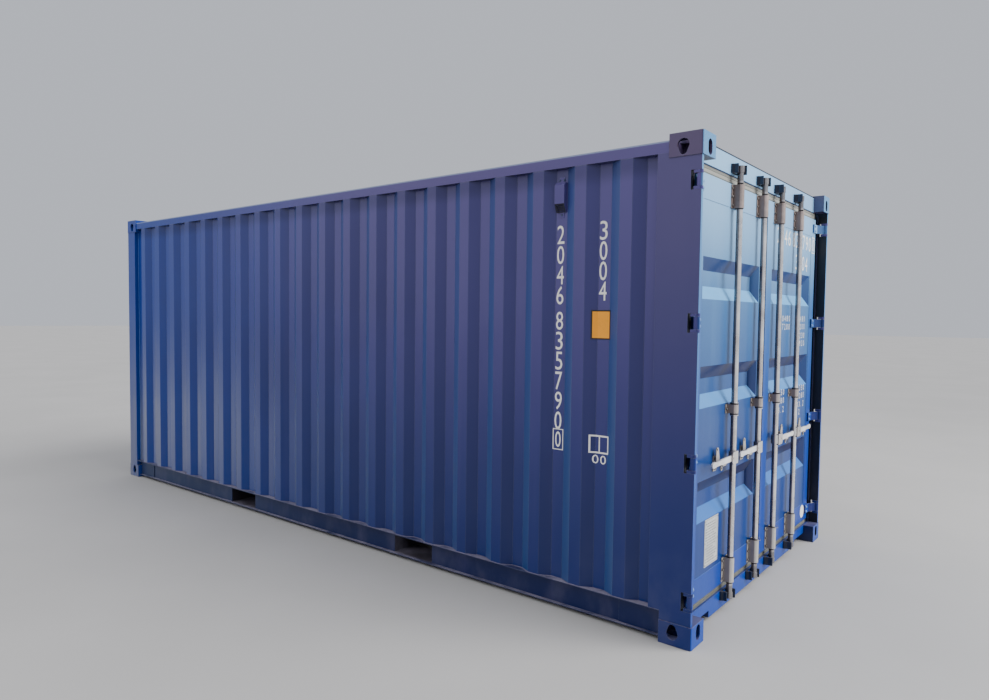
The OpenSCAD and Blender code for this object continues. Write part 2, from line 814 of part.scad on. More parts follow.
// Keeper of one cam: two claws on a foot on the face of the header or sill, bar at y = 0
module cam_keeper() {
    w = 2 * (keeper_y + keeper_t + claw_root);
    translate([door_x, 0, -keeper_h / 2]) {
        translate([0, keeper_y, 0]) linear_extrude(keeper_h) claw_plan(keeper_out);
        mirror([0, 1, 0]) translate([0, keeper_y, 0]) linear_extrude(keeper_h) claw_plan(keeper_out * claw_share);
        for (z = [0, keeper_h - keeper_foot]) translate([0, -w / 2, z]) cube([keeper_foot - 1, w, keeper_foot]);
    }
}

module keeper_row(z) {
    both_sides() for (y = [inner_bar_y, outer_bar_y]) translate([0, -y, z]) cam_keeper();
}

module header_cam_keepers() {
    color(dark_paint) keeper_row(top_cam_z);
}

module sill_cam_keepers() {
    color(dark_paint) keeper_row(low_cam_z);
}

// Two lugs and a pin in each notch of the left post
module hinge_set() {
    lug_h = notch_h / 2 - blade_h / 2 - lug_fit;
    translate([hinge_x, -hinge_y, 0]) {
        for (s = [-1, 1]) translate([0, 0, s * (notch_h / 2 - lug_h / 2)]) {
            cylinder(r = hinge_eye_r, h = lug_h, center = true);
            translate([-hinge_eye_r - 12, -hinge_eye_r + 2, -lug_h / 2])
                cube([hinge_eye_r + 12, 2 * hinge_eye_r - 4, lug_h]);
        }
        cylinder(r = hinge_pin_r, h = notch_h, center = true);
    }
}

module hinge_lugs_and_pins() {
    color(paint) both_sides() for (i = [0 : hinge_count - 1])
        translate([0, 0, hinge_low_z + i * hinge_pitch]) hinge_set();
}

// Side view of a ventilator cover grown by g, drawn with its back on x = 0 and its foot at y = 0
module vent_side(g) {
    out = vent_out + g;
    polygon([
        [g, -g], [-vent_out * 0.35 - g, -g], [-out, vent_slope_h],
        [-out, vent_h - vent_out * 0.5 + g], [-out + vent_out * 0.5, vent_h + g], [g, vent_h + g]
    ]);
}

// Hollow louvred cover, its back on y = 0 towards -Y, centred on z = 0, with a lug above and below
module ventilator() {
    rim = 8;
    pitch = (vent_slope_h - rim) / vent_slots;
    translate([0, 0, -vent_h / 2]) {
        difference() {
            translate([-vent_w / 2, 0, 0]) rotate([90, 0, 90]) linear_extrude(vent_w) vent_side(0);
            translate([-vent_w / 2 + vent_t, 0, 0]) rotate([90, 0, 90]) linear_extrude(vent_w - 2 * vent_t)
                vent_side(-vent_t);
            for (i = [0 : vent_slots - 1]) translate([-vent_w / 2 + rim, -vent_out - eps, rim / 2 + i * pitch])
                cube([vent_w - 2 * rim, vent_out + eps - vent_t, pitch / 2]);
        }
        for (z = [-vent_lug, vent_h - eps]) translate([-vent_w / 4, -vent_t, z]) cube([vent_w / 2, vent_t, vent_lug + eps]);
    }
}

module ventilators() {
    z = rail_low_z - vent_drop;
    x = rear_post_x - side_end + side_flat / 2 - vent_recess * side_pitch;
    y = wall_y - side_depth;
    color(paint) {
        translate([x, -y, z]) ventilator();
        translate([front_post_x + rear_post_x - x, y, z]) mirror([0, 1, 0]) ventilator();
    }
}

// Frame of the left leaf: box section stiles and rails
module left_door_frame() {
    mid_w = leaf_w - 2 * stile_w;
    color(door_paint) translate([leaf_back_x, -leaf_out_y, leaf_low_z]) difference() {
        cube([leaf_t, leaf_w, leaf_h]);
        translate([-eps, stile_w, leaf_rail_h]) cube([leaf_t + 2 * eps, mid_w, leaf_h - 2 * leaf_rail_h]);
        for (y = [0, leaf_w - stile_w])
            translate([leaf_frame_t, y + leaf_frame_t, leaf_frame_t])
                cube([leaf_t - 2 * leaf_frame_t, stile_w - 2 * leaf_frame_t, leaf_h - 2 * leaf_frame_t]);
        for (z = [0, leaf_h - leaf_rail_h])
            translate([leaf_frame_t, stile_w + leaf_frame_t, z + leaf_frame_t])
                cube([leaf_t - 2 * leaf_frame_t, mid_w - 2 * leaf_frame_t, leaf_rail_h - 2 * leaf_frame_t]);
    }
}

// Solid of one groove of a door panel of width w, grown by g
module groove_form(w, g) {
    pressed_form(w / 2 - groove_end - groove_slope, groove_w / 2, groove_depth, groove_slope, g);
}

// Pressed sheet of the left leaf between its stiles and rails
module left_door_panel() {
    w = leaf_w - 2 * stile_w;
    h = leaf_h - 2 * leaf_rail_h;
    mid_y = -leaf_out_y + stile_w + w / 2;
    color(door_paint) difference() {
        union() {
            translate([door_x - panel_in - panel_t, mid_y - w / 2, leaf_low_z + leaf_rail_h]) cube([panel_t, w, h]);
            for (z = groove_z) translate([door_x - panel_in, mid_y, z]) groove_form(w, panel_t);
        }
        for (z = groove_z) translate([door_x - panel_in, mid_y, z]) groove_form(w, 0);
        translate([door_x - panel_in, mid_y - w / 2, leaf_low_z]) cube([panel_in + eps, w, leaf_h]);
    }
}

// Seal round the left leaf, set back from the face of the leaf
module left_door_seal() {
    x = door_x - seal_in - seal_t;
    out = seal_w - seal_gap;
    color(rubber) translate([x, 0, 0]) difference() {
        translate([0, -leaf_out_y - out, doorway_low_z + seal_gap])
            cube([seal_t, leaf_out_y + out - seal_mid, doorway_top_z - doorway_low_z - 2 * seal_gap]);
        translate([-eps, -leaf_out_y, leaf_low_z]) cube([seal_t + 2 * eps, leaf_w, leaf_h]);
    }
}

// Plan of a hinge blade round the pin at the origin, leaf towards +Y
module blade_plan() {
    face = hinge_x - door_x;
    edge = hinge_y - leaf_out_y;
    polygon([
        [-face, edge + blade_foot], [-face + blade_t, edge + blade_foot],
        [-face + blade_t, edge - 4], [-hinge_eye_r - 3, 34], [-4, 14], [-14, 2], [-hinge_eye_r - 12, 34], [-face, edge]
    ]);
}

module hinge_blade() {
    difference() {
        union() {
            cylinder(r = hinge_eye_r, h = blade_h, center = true);
            linear_extrude(blade_h, center = true) blade_plan();
        }
        cylinder(r = hinge_pin_r + hinge_fit, h = blade_h + 2 * eps, center = true);
    }
}

module left_hinge_blades() {
    color(door_paint) for (i = [0 : hinge_count - 1])
        translate([hinge_x, -hinge_y, hinge_low_z + i * hinge_pitch]) hinge_blade();
}

// Sleeve bracket round a bar at the origin, its foot at x = -foot
module bar_bracket(h, foot) {
    inner = bar_r + bar_fit;
    difference() {
        union() {
            cylinder(r = bracket_r, h = h);
            translate([-foot, -bracket_r, 0]) cube([foot, 2 * bracket_r, h]);
            translate([-foot, -bracket_r - bracket_flange, 0]) cube([bracket_t, 2 * (bracket_r + bracket_flange), h]);
        }
        translate([0, 0, -eps]) cylinder(r = inner, h = h + 2 * eps);
        translate([-foot - eps, -inner, -eps]) cube([foot + eps, 2 * inner, h + 2 * eps]);
    }
}

module left_bar_brackets() {
    color(zinc) for (y = [inner_bar_y, outer_bar_y]) {
        translate([bar_x, -y, top_bracket_z]) bar_bracket(top_bracket_h, bar_out);
        translate([bar_x, -y, mid_bracket_z - mid_bracket_h / 2]) bar_bracket(mid_bracket_h, bar_out + panel_in);
        translate([bar_x, -y, low_bracket_z]) bar_bracket(low_bracket_h, bar_out);
    }
}

// Ear of a handle retainer with a hole near its top, drawn in Y and Z from the shelf up
module ear_plan() {
    h = handle_w + ear_h;
    difference() {
        polygon([
            [-ear_w, -eps], [-ear_w, h - ear_w / 2], [-ear_w / 2, h], [0, h],
            [ear_w / 3, h - ear_w / 3], [retainer_w / 2, handle_w], [retainer_w / 2, -eps]
        ]);
        translate([-ear_w / 2, h - ear_w / 2]) circle(r = ear_hole_r);
    }
}

// Eye of a handle retainer that hangs from y = 0, drawn in Y and Z
module eye_plan() {
    difference() {
        union() {
            translate([-ear_w / 2, -eye_drop]) square([ear_w, eye_drop]);
            translate([0, -eye_drop]) circle(r = ear_w / 2);
        }
        translate([0, -eye_drop]) circle(r = ear_hole_r);
    }
}

// Retainer of one handle: foot on the leaf, shelf under the handle, ear behind it and eye below, bar at the origin
module handle_retainer() {
    shelf_z = handle_z - handle_w / 2 - shelf_fit;
    foot = bar_out + panel_in;
    shelf_x = handle_x + handle_t + 3;
    translate([0, -retainer_out, shelf_z]) {
        translate([-foot, -retainer_w / 2, -retainer_foot_h / 2]) cube([bracket_t, retainer_w, retainer_foot_h]);
        translate([-foot, -retainer_w / 2, -retainer_t]) cube([foot + shelf_x, retainer_w, retainer_t]);
        translate([handle_x - ear_back, 0, 0]) rotate([90, 0, 90]) linear_extrude(retainer_t) ear_plan();
        translate([shelf_x - 3 * retainer_t, -retainer_w / 4, -retainer_t]) rotate([90, 0, 90])
            linear_extrude(retainer_t) eye_plan();
    }
}

module left_handle_retainers() {
    color(zinc) for (y = [inner_bar_y, outer_bar_y]) translate([bar_x, -y, 0]) handle_retainer();
}

// One locking bar with its cams, collars and handle hub, on the left leaf, bar at the origin
module locking_bar() {
    tube_low = low_cam_z - cam_h / 2;
    tube_top = top_cam_z + cam_h / 2;
    difference() {
        translate([0, 0, tube_low]) cylinder(r = bar_r, h = tube_top - tube_low);
        translate([0, 0, tube_low + cam_h]) cylinder(r = bar_r - bar_t, h = tube_top - tube_low - 2 * cam_h);
    }
    for (z = [low_cam_z, top_cam_z]) translate([0, 0, z - cam_h / 2]) {
        cylinder(r = cam_hub_r, h = cam_h);
        translate([0, 0, 6]) linear_extrude(cam_h - 12) polygon([
            [-cam_nose_t * 0.6, 0], [-cam_nose_t * 0.6, cam_reach - 3], [-cam_nose_t * 0.4, cam_reach],
            [cam_nose_t * 0.2, cam_reach], [cam_nose_t * 0.7, 10], [cam_nose_t * 0.7, 0]
        ]);
    }
    for (z = [mid_bracket_z - mid_bracket_h / 2 - collar_gap - collar_h, mid_bracket_z + mid_bracket_h / 2 + collar_fit])
        translate([0, 0, z]) bar_ring(collar_r, collar_h);
    translate([0, 0, handle_z - hub_h / 2]) bar_ring(hub_r, hub_h);
    translate([tongue_x, -pivot_out, handle_z - handle_w / 2]) cube([tongue_t, pivot_out - bar_r, handle_w]);
    translate([tongue_x, -pivot_out, handle_z]) rotate([0, 90, 0]) {
        cylinder(d = handle_w, h = tongue_t);
        cylinder(r = pivot_r, h = cheek_x + cheek_t + pivot_head - tongue_x);
    }
    translate([cheek_x, 0, handle_z]) rotate([90, 0, 90]) linear_extrude(cheek_t) cheek_plan();
    for (s = [-1, 1]) translate([bar_r - bar_t, -cheek_root, handle_z + s * (cheek_h - cheek_t) / 2 - cheek_t / 2])
        cube([cheek_x + cheek_t - bar_r + bar_t, 2 * cheek_root, cheek_t]);
}

// Front cheek with rounded corners round the handle pivot, drawn in Y and Z
module cheek_plan() {
    w = pivot_out + handle_w / 2 + 2;
    c = cheek_h / 5;
    polygon([
        [cheek_root, -cheek_h / 2], [cheek_root, cheek_h / 2], [-w + c, cheek_h / 2],
        [-w, cheek_h / 2 - c], [-w, -cheek_h / 2 + c], [-w + c, -cheek_h / 2]
    ]);
}

// Ring that sits on a bar
module bar_ring(r, h) {
    difference() {
        cylinder(r = r, h = h);
        translate([0, 0, -eps]) cylinder(r = bar_r - 0.5, h = h + 2 * eps);
    }
}

module left_outer_locking_bar() {
    color(zinc) translate([bar_x, -outer_bar_y, 0]) locking_bar();
}

module left_inner_locking_bar() {
    color(zinc) translate([bar_x, -inner_bar_y, 0]) locking_bar();
}

// Lever with a thinner middle beyond the retainer and a rounded end, drawn in Y and Z
module handle_plan() {
    h = handle_w / 2;
    y1 = -retainer_out - retainer_w / 2 - 8;
    y2 = y1 - waist_l;
    c = min(h, (handle_l + y2) / 2);
    polygon([
        [-pivot_out, -h], [-pivot_out, h], [y1, h], [y1 - 10, waist_w / 2], [y2 + 10, waist_w / 2], [y2, h],
        [-handle_l + c, h], [-handle_l, h / 2], [-handle_l, -h / 2], [-handle_l + c, -h],
        [y2, -h], [y2 + 10, -waist_w / 2], [y1 - 10, -waist_w / 2], [y1, -h]
    ]);
}

// Handle of the left leaf, bar at the origin, pointing towards the hinges
module handle() {
    difference() {
        union() {
            translate([handle_x, 0, handle_z]) rotate([90, 0, 90]) linear_extrude(handle_t) handle_plan();
            translate([handle_x, -pivot_out, handle_z]) rotate([0, 90, 0]) cylinder(d = handle_w, h = handle_t);
        }
        translate([handle_x - eps, -pivot_out, handle_z]) rotate([0, 90, 0])
            cylinder(r = pivot_r + pivot_fit, h = handle_t + 2 * eps);
    }
}

module left_outer_handle() {
    color(zinc) translate([bar_x, -outer_bar_y, 0]) handle();
}

module left_inner_handle() {
    color(zinc) translate([bar_x, -inner_bar_y, 0]) handle();
}

module right_door_frame() { mirror([0, 1, 0]) left_door_frame(); }
module right_door_panel() { mirror([0, 1, 0]) left_door_panel(); }
module right_door_seal() { mirror([0, 1, 0]) left_door_seal(); }
module right_hinge_blades() { mirror([0, 1, 0]) left_hinge_blades(); }
module right_bar_brackets() { mirror([0, 1, 0]) left_bar_brackets(); }
module right_handle_retainers() { mirror([0, 1, 0]) left_handle_retainers(); }
module right_outer_locking_bar() { mirror([0, 1, 0]) left_outer_locking_bar(); }
module right_inner_locking_bar() { mirror([0, 1, 0]) left_inner_locking_bar(); }
module right_outer_handle() { mirror([0, 1, 0]) left_outer_handle(); }
module right_inner_handle() { mirror([0, 1, 0]) left_inner_handle(); }

top_corner_fittings();
bottom_corner_fittings();
front_corner_posts();
rear_corner_posts();
top_side_rails();
bottom_side_rails();
rail_end_gussets();
left_side_wall();
right_side_wall();
front_wall();
front_top_rail();
front_bottom_rail();
door_header();
door_sill();
roof_panel();
roof_end_plates();
floor_boards();
floor_centre_rail();
cross_members();
fork_pockets();
header_cam_keepers();
sill_cam_keepers();
hinge_lugs_and_pins();
ventilators();
left_door_frame();
left_door_panel();
left_door_seal();
left_hinge_blades();
left_bar_brackets();
left_handle_retainers();
right_door_frame();
right_door_panel();
right_door_seal();
right_hinge_blades();
right_bar_brackets();
right_handle_retainers();
left_outer_locking_bar();
left_inner_locking_bar();
right_inner_locking_bar();
right_outer_locking_bar();
left_outer_handle();
left_inner_handle();
right_inner_handle();
right_outer_handle();
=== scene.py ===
"""Finish of a twenty foot freight container: paint, galvanised gear, seals, fasteners and markings."""

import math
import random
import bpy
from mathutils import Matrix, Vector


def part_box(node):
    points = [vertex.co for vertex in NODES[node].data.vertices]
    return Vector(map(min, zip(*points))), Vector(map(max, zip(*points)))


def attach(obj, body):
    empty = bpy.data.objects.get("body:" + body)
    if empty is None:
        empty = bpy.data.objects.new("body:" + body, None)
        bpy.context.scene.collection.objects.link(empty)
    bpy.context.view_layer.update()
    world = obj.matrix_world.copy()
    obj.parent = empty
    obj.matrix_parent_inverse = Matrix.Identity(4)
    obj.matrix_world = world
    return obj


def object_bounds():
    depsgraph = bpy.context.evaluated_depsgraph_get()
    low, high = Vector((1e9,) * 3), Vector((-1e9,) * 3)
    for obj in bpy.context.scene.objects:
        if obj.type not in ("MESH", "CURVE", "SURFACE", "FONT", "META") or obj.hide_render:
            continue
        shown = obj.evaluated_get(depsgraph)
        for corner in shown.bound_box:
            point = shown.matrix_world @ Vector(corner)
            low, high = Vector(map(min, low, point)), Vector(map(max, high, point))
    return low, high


bl_info = {
    "name": "Freight container finish",
    "version": (1, 0, 0),
    "blender": (4, 5, 0),
    "location": "3D View > Sidebar > Container",
    "description": "Gives the packed container its paint, galvanised gear, seals, fasteners and markings",
    "category": "Object",
}

import bmesh
import bpy
from bpy.props import FloatProperty, FloatVectorProperty, IntProperty, PointerProperty
from bpy.types import Operator, Panel, PropertyGroup
from mathutils import Matrix, Vector
from mathutils.bvhtree import BVHTree

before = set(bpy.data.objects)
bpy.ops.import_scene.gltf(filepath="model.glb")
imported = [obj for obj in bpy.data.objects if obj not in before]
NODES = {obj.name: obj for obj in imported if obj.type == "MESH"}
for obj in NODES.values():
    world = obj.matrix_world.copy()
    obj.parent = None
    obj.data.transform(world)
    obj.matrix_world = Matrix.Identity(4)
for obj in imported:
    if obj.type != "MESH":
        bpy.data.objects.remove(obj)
CAD_BOX = [list(corner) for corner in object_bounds()]
SIDES = (("left", -1), ("right", 1))
OUT = Vector((1, 0, 0))
# Kind of a node tree input by its default; None stands for a material
SOCKETS = {float: "NodeSocketFloat", int: "NodeSocketInt", type(None): "NodeSocketMaterial"}

# Tints of the paint, in places where the light of the photograph is part of its colour
SLOPE_BLUE = (0.010, 0.080, 0.250)
CHALK_AND_SHEEN = (0.19, 0.20, 0.24)
BROW_SHADOW = (0.30, 0.34, 0.46)
DOOR_SKY = (0.40, 0.67, 0.94)
CHANNEL_DARK = (0.003, 0.006, 0.022)
FITTING_DARK = (0.045, 0.085, 0.170)
# Old rust: the steel's own colour
OLD_RUST = (0.06, 0.025, 0.015)

# Plain numbers of the right door: text, Y and Z of the lower left corner
LARGE_NUMBERS = (("2046", 0.215, 2.175), ("835790", 0.560, 2.175), ("3004", 0.640, 2.025))
SMALL_NUMBERS = (
    *(("30480", 0.330, 1.660), ("67200", 0.330, 1.604), ("30480", 0.700, 1.660), ("67200", 0.700, 1.604)),
    *(("2230", 0.748, 1.540), ("4920", 0.748, 1.484), ("28250", 0.250, 1.158), ("62280", 0.250, 1.102)),
    *(("33.2", 0.298, 1.040), ("28250", 0.735, 1.158), ("62280", 0.735, 1.102), ("33.2", 0.783, 1.040)),
    ("2", 0.831, 0.984),
)


def triple(name, description, subtype, value, **more):
    """Three numbers that the user can change."""
    return FloatVectorProperty(name=name, description=description, subtype=subtype, default=value, **more)


def colour(name, description, value):
    """A colour that the user can change."""
    return triple(name, description, "COLOR", value, min=0, max=1)


def amount(name, description, value, **more):
    """A number from 0 upwards that the user can change."""
    return FloatProperty(name=name, description=description, min=0, default=value, **more)


def length(name, description, value):
    """A length in metres that the user can change."""
    return amount(name, description, value, unit="LENGTH", precision=4)


class PaintSettings(PropertyGroup):
    """Colours and wear of the painted steel."""

    # Painted light: the wall colours brighten from low to high upwards, and the front colour is a painted
    # reflection
    wall_low: colour("Wall, low", "Side wall paint near the ground", (0.001, 0.014, 0.120))
    wall_high: colour("Wall, high", "Faded side wall paint below the roof", (0.082, 0.064, 0.222))
    wall_far: colour("Wall, front", "Side wall paint towards the front end", (0.003, 0.045, 0.300))
    # Painted light: the doors carry the walls' paint, and these lighter colours paint in the light on them
    door_low: colour("Door, low", "Door paint near the ground", (0.002, 0.046, 0.320))
    door_high: colour("Door, high", "Door paint below the header", (0.100, 0.270, 0.500))
    roof: colour("Roof", "Sun faded roof paint", (0.110, 0.150, 0.270))
    base: colour("Base", "Dark coating of the base", (0.020, 0.024, 0.034))
    keeper: colour("Keepers", "Dark paint of the cam keepers", (0.005, 0.012, 0.034))
    rust: colour("Rust", "Rust at chips and edges", (0.150, 0.055, 0.025))
    # Painted light on door slopes that face up
    lit: colour("Door, facing up", "Sun faded slopes of the doors", (0.180, 0.570, 1.000))
    dust: colour("Dust", "Dust on ledges and near the ground", (0.270, 0.245, 0.320))
    wear: amount("Wear", "Amount of chips and rust", 0.35, max=1)
    gloss: amount("Roughness", "Roughness of clean paint", 0.34, max=1)


class MetalSettings(PropertyGroup):
    """Colours of bare metal, rubber and wood."""

    bar: colour("Locking bars", "Galvanised locking bars", (0.970, 0.870, 0.840))
    cam: colour("Cams", "Dark forged cams at the ends of the bars", (0.120, 0.110, 0.115))
    bracket: colour("Brackets", "Dull galvanised brackets", (0.430, 0.345, 0.315))
    handle: colour("Handles", "Bright galvanised handles", (0.950, 0.950, 0.940))
    bolt: colour("Bolts", "Heads of bolts and rivets", (0.420, 0.400, 0.380))
    seal: colour("Door seals", "Weathered rubber", (0.180, 0.180, 0.160))
    plywood: colour("Floor", "Worn plywood boards", (0.210, 0.105, 0.050))


class FastenerSettings(PropertyGroup):
    """Sizes of bolts, rivets, screws, weld beads and seal lips."""

    bolt_radius: length("Bolt head", "Radius of a bolt head", 0.0085)
    bolt_height: length("Bolt height", "Height of a bolt head", 0.0060)
    washer_radius: length("Washer", "Radius of a washer", 0.0120)
    rivet_radius: length("Rivet", "Radius of a round head", 0.0045)
    screw_radius: length("Floor screw", "Radius of a floor screw head", 0.0075)
    bead_radius: length("Weld bead", "Radius of a weld bead", 0.0035)
    lip_radius: length("Seal lip", "Radius of a lip of the door seal", 0.0035)
    seed: IntProperty(name="Seed", description="Seed of everything scattered", default=7, min=0)


class MarkSettings(PropertyGroup):
    """Plain digits and plates."""

    white: colour("White", "Paint of the digits", (0.850, 0.830, 0.800))
    amber: colour("Amber", "Plate on the side walls", (1.000, 0.380, 0.005))
    digit_height: length("Digit height", "Height of the large digits", 0.103)
    digit_width: length("Digit width", "Width of the large digits", 0.047)
    lift: length("Lift", "Height of a decal above the steel", 0.0006)


class StageSettings(PropertyGroup):
    """Floor, lights and camera."""

    floor: colour("Floor", "Pale studio floor", (0.420, 0.410, 0.400))
    sky: amount("Sky", "Strength of the even light", 0.68)
    key: amount("Key", "Strength of the soft light in front of the doors", 2.6)
    top: amount("Top", "Strength of the soft light above", 1.0)
    fill: amount("Fill", "Strength of the soft light on the left side", 0.60)
    panel: amount("Panel", "Power of the light panel beside the doors", 560, unit="POWER")
    camera_place: triple(
        "Camera", "Place of the camera", "TRANSLATION", (4.403, -4.565, 1.665), unit="LENGTH"
    )
    camera_turn: triple(
        "Camera angle", "Turn of the camera", "EULER", [math.radians(a) for a in (87.347, -0.694, 38.431)]
    )
    lens: amount("Lens", "Focal length in millimetres", 25.76)


def scaled(shade, *factors):
    """A colour times one factor, or times one factor for each of its channels."""
    return tuple(c * f for c, f in zip(shade, factors if len(factors) == 3 else factors * 3))


def maths(operation, swapped=False):
    """An operator that adds a Math node, with its two values swapped for the reflected kind."""

    def work(self, other):
        first, second = (other, self) if swapped else (self, other)
        return self.tree.put("ShaderNodeMath", {"operation": operation}, {0: first, 1: second})

    return work


class Wire:
    """A socket of a node tree that can be used in expressions."""

    __add__, __radd__ = maths("ADD"), maths("ADD", True)
    __sub__, __rsub__ = maths("SUBTRACT"), maths("SUBTRACT", True)
    __mul__, __rmul__ = maths("MULTIPLY"), maths("MULTIPLY", True)
    __truediv__, __rtruediv__ = maths("DIVIDE"), maths("DIVIDE", True)

    def __init__(self, tree, socket):
        self.tree = tree
        self.socket = socket

    def __neg__(self):
        return 0 - self

    def __abs__(self):
        return self.tree.put("ShaderNodeMath", {"operation": "ABSOLUTE"}, {0: self})

    def over(self, low, high):
        """0 at low and 1 at high, with a soft change between them."""
        soft, ends = {"interpolation_type": "SMOOTHSTEP"}, {"From_Min": low, "From_Max": high}
        return self.tree.put("ShaderNodeMapRange", soft, out="Result", Value=self, **ends)

    def tint(self, first, second, blend="MIX"):
        """The colour first where this value is 0 and second where it is 1."""
        settings = {"data_type": "RGBA", "blend_type": blend}
        return self.tree.put("ShaderNodeMix", settings, {0: self, 6: first, 7: second}, 2)


class Tree:
    """A node tree, filled by one method."""

    def __init__(self, nodes):
        self.nodes = nodes

    def chance(self, low, high, seed):
        """A random number for each point."""
        values = {2: low, 3: high, "Seed": seed}
        return self.put("FunctionNodeRandomValue", {"data_type": "FLOAT"}, values, 1)

    def put(self, kind, settings=None, values=None, out=0, **named):
        """Adds a node and returns its output out, or the node for None. In named, _ stands for a space."""
        node = self.nodes.nodes.new(kind)
        for key, value in (settings or {}).items():
            setattr(node, key, value)
        for key, value in (values or named).items():
            socket = node.inputs[key.replace("_", " ") if values is None else key]
            if isinstance(value, Wire):
                self.nodes.links.new(value.socket, socket)
            elif isinstance(value, bpy.types.NodeSocket):
                self.nodes.links.new(value, socket)
            elif socket.type == "RGBA" and len(value) == 3:
                socket.default_value = (*value, 1)
            else:
                socket.default_value = value
        return Wire(self, node.outputs[out]) if out is not None else node


class Finish(Tree):
    """A material fixed to the object's own coordinates, in metres. Its colour so far is shade."""

    def __init__(self, name):
        self.material = bpy.data.materials.new(name)
        self.material.use_nodes = True
        super().__init__(self.material.node_tree)
        self.nodes.nodes.clear()
        self.place = self.put("ShaderNodeTexCoord", out="Object")
        self.normal = self.put("ShaderNodeNewGeometry", out="Normal")
        self.x, self.y, self.z = self.parts(self.place)
        self.aside = abs(self.y)
        turn = {"vector_type": "NORMAL", "convert_to": "OBJECT"}
        own = self.put("ShaderNodeVectorTransform", turn, {0: self.normal})
        self.ahead, self.sideways, self.upward = self.parts(own)

    def parts(self, vector):
        wire = self.put("ShaderNodeSeparateXYZ", values={0: vector})
        return [Wire(self, socket) for socket in wire.socket.node.outputs]

    def noise(self, scale, detail=3, stretch=(1, 1, 1), shift=0.0, rough=0.55):
        """Soft noise from 0 to 1, moved by shift so that patterns of one material differ."""
        moved = {0: self.place, 1: stretch, 2: (shift, shift * 1.7, shift * 0.6)}
        vector = self.put("ShaderNodeVectorMath", {"operation": "MULTIPLY_ADD"}, moved)
        return self.put("ShaderNodeTexNoise", Vector=vector, Scale=scale, Detail=detail, Roughness=rough)

    def softened(self, radius):
        """The normal with its edges rounded by radius."""
        return self.put("ShaderNodeBevel", {"samples": 4}, out="Normal", Radius=radius)

    def edges(self, soft):
        """1 along sharp edges and 0 on flats."""
        both = {0: soft, 1: self.normal}
        dot = self.put("ShaderNodeVectorMath", {"operation": "DOT_PRODUCT"}, both, "Value")
        return (1 - dot).over(0.01, 0.22)

    def bump(self, height, distance, normal):
        return self.put("ShaderNodeBump", Strength=1.0, Distance=distance, Height=height, Normal=normal)

    def lay(self, where, new):
        """Lays the colour new over shade where the value where is 1."""
        self.shade = where.tint(self.shade, new)

    def dim(self, where, by):
        """Multiplies shade by the colour by where the value where is 1."""
        self.shade = where.tint(self.shade, by, "MULTIPLY")

    def close(self, **values):
        """Ends the material in a shader with its shade and these values."""
        shader = self.put("ShaderNodeBsdfPrincipled", out="BSDF", Base_Color=self.shade, **values)
        self.put("ShaderNodeOutputMaterial", out=None, Surface=shader)
        return self.material


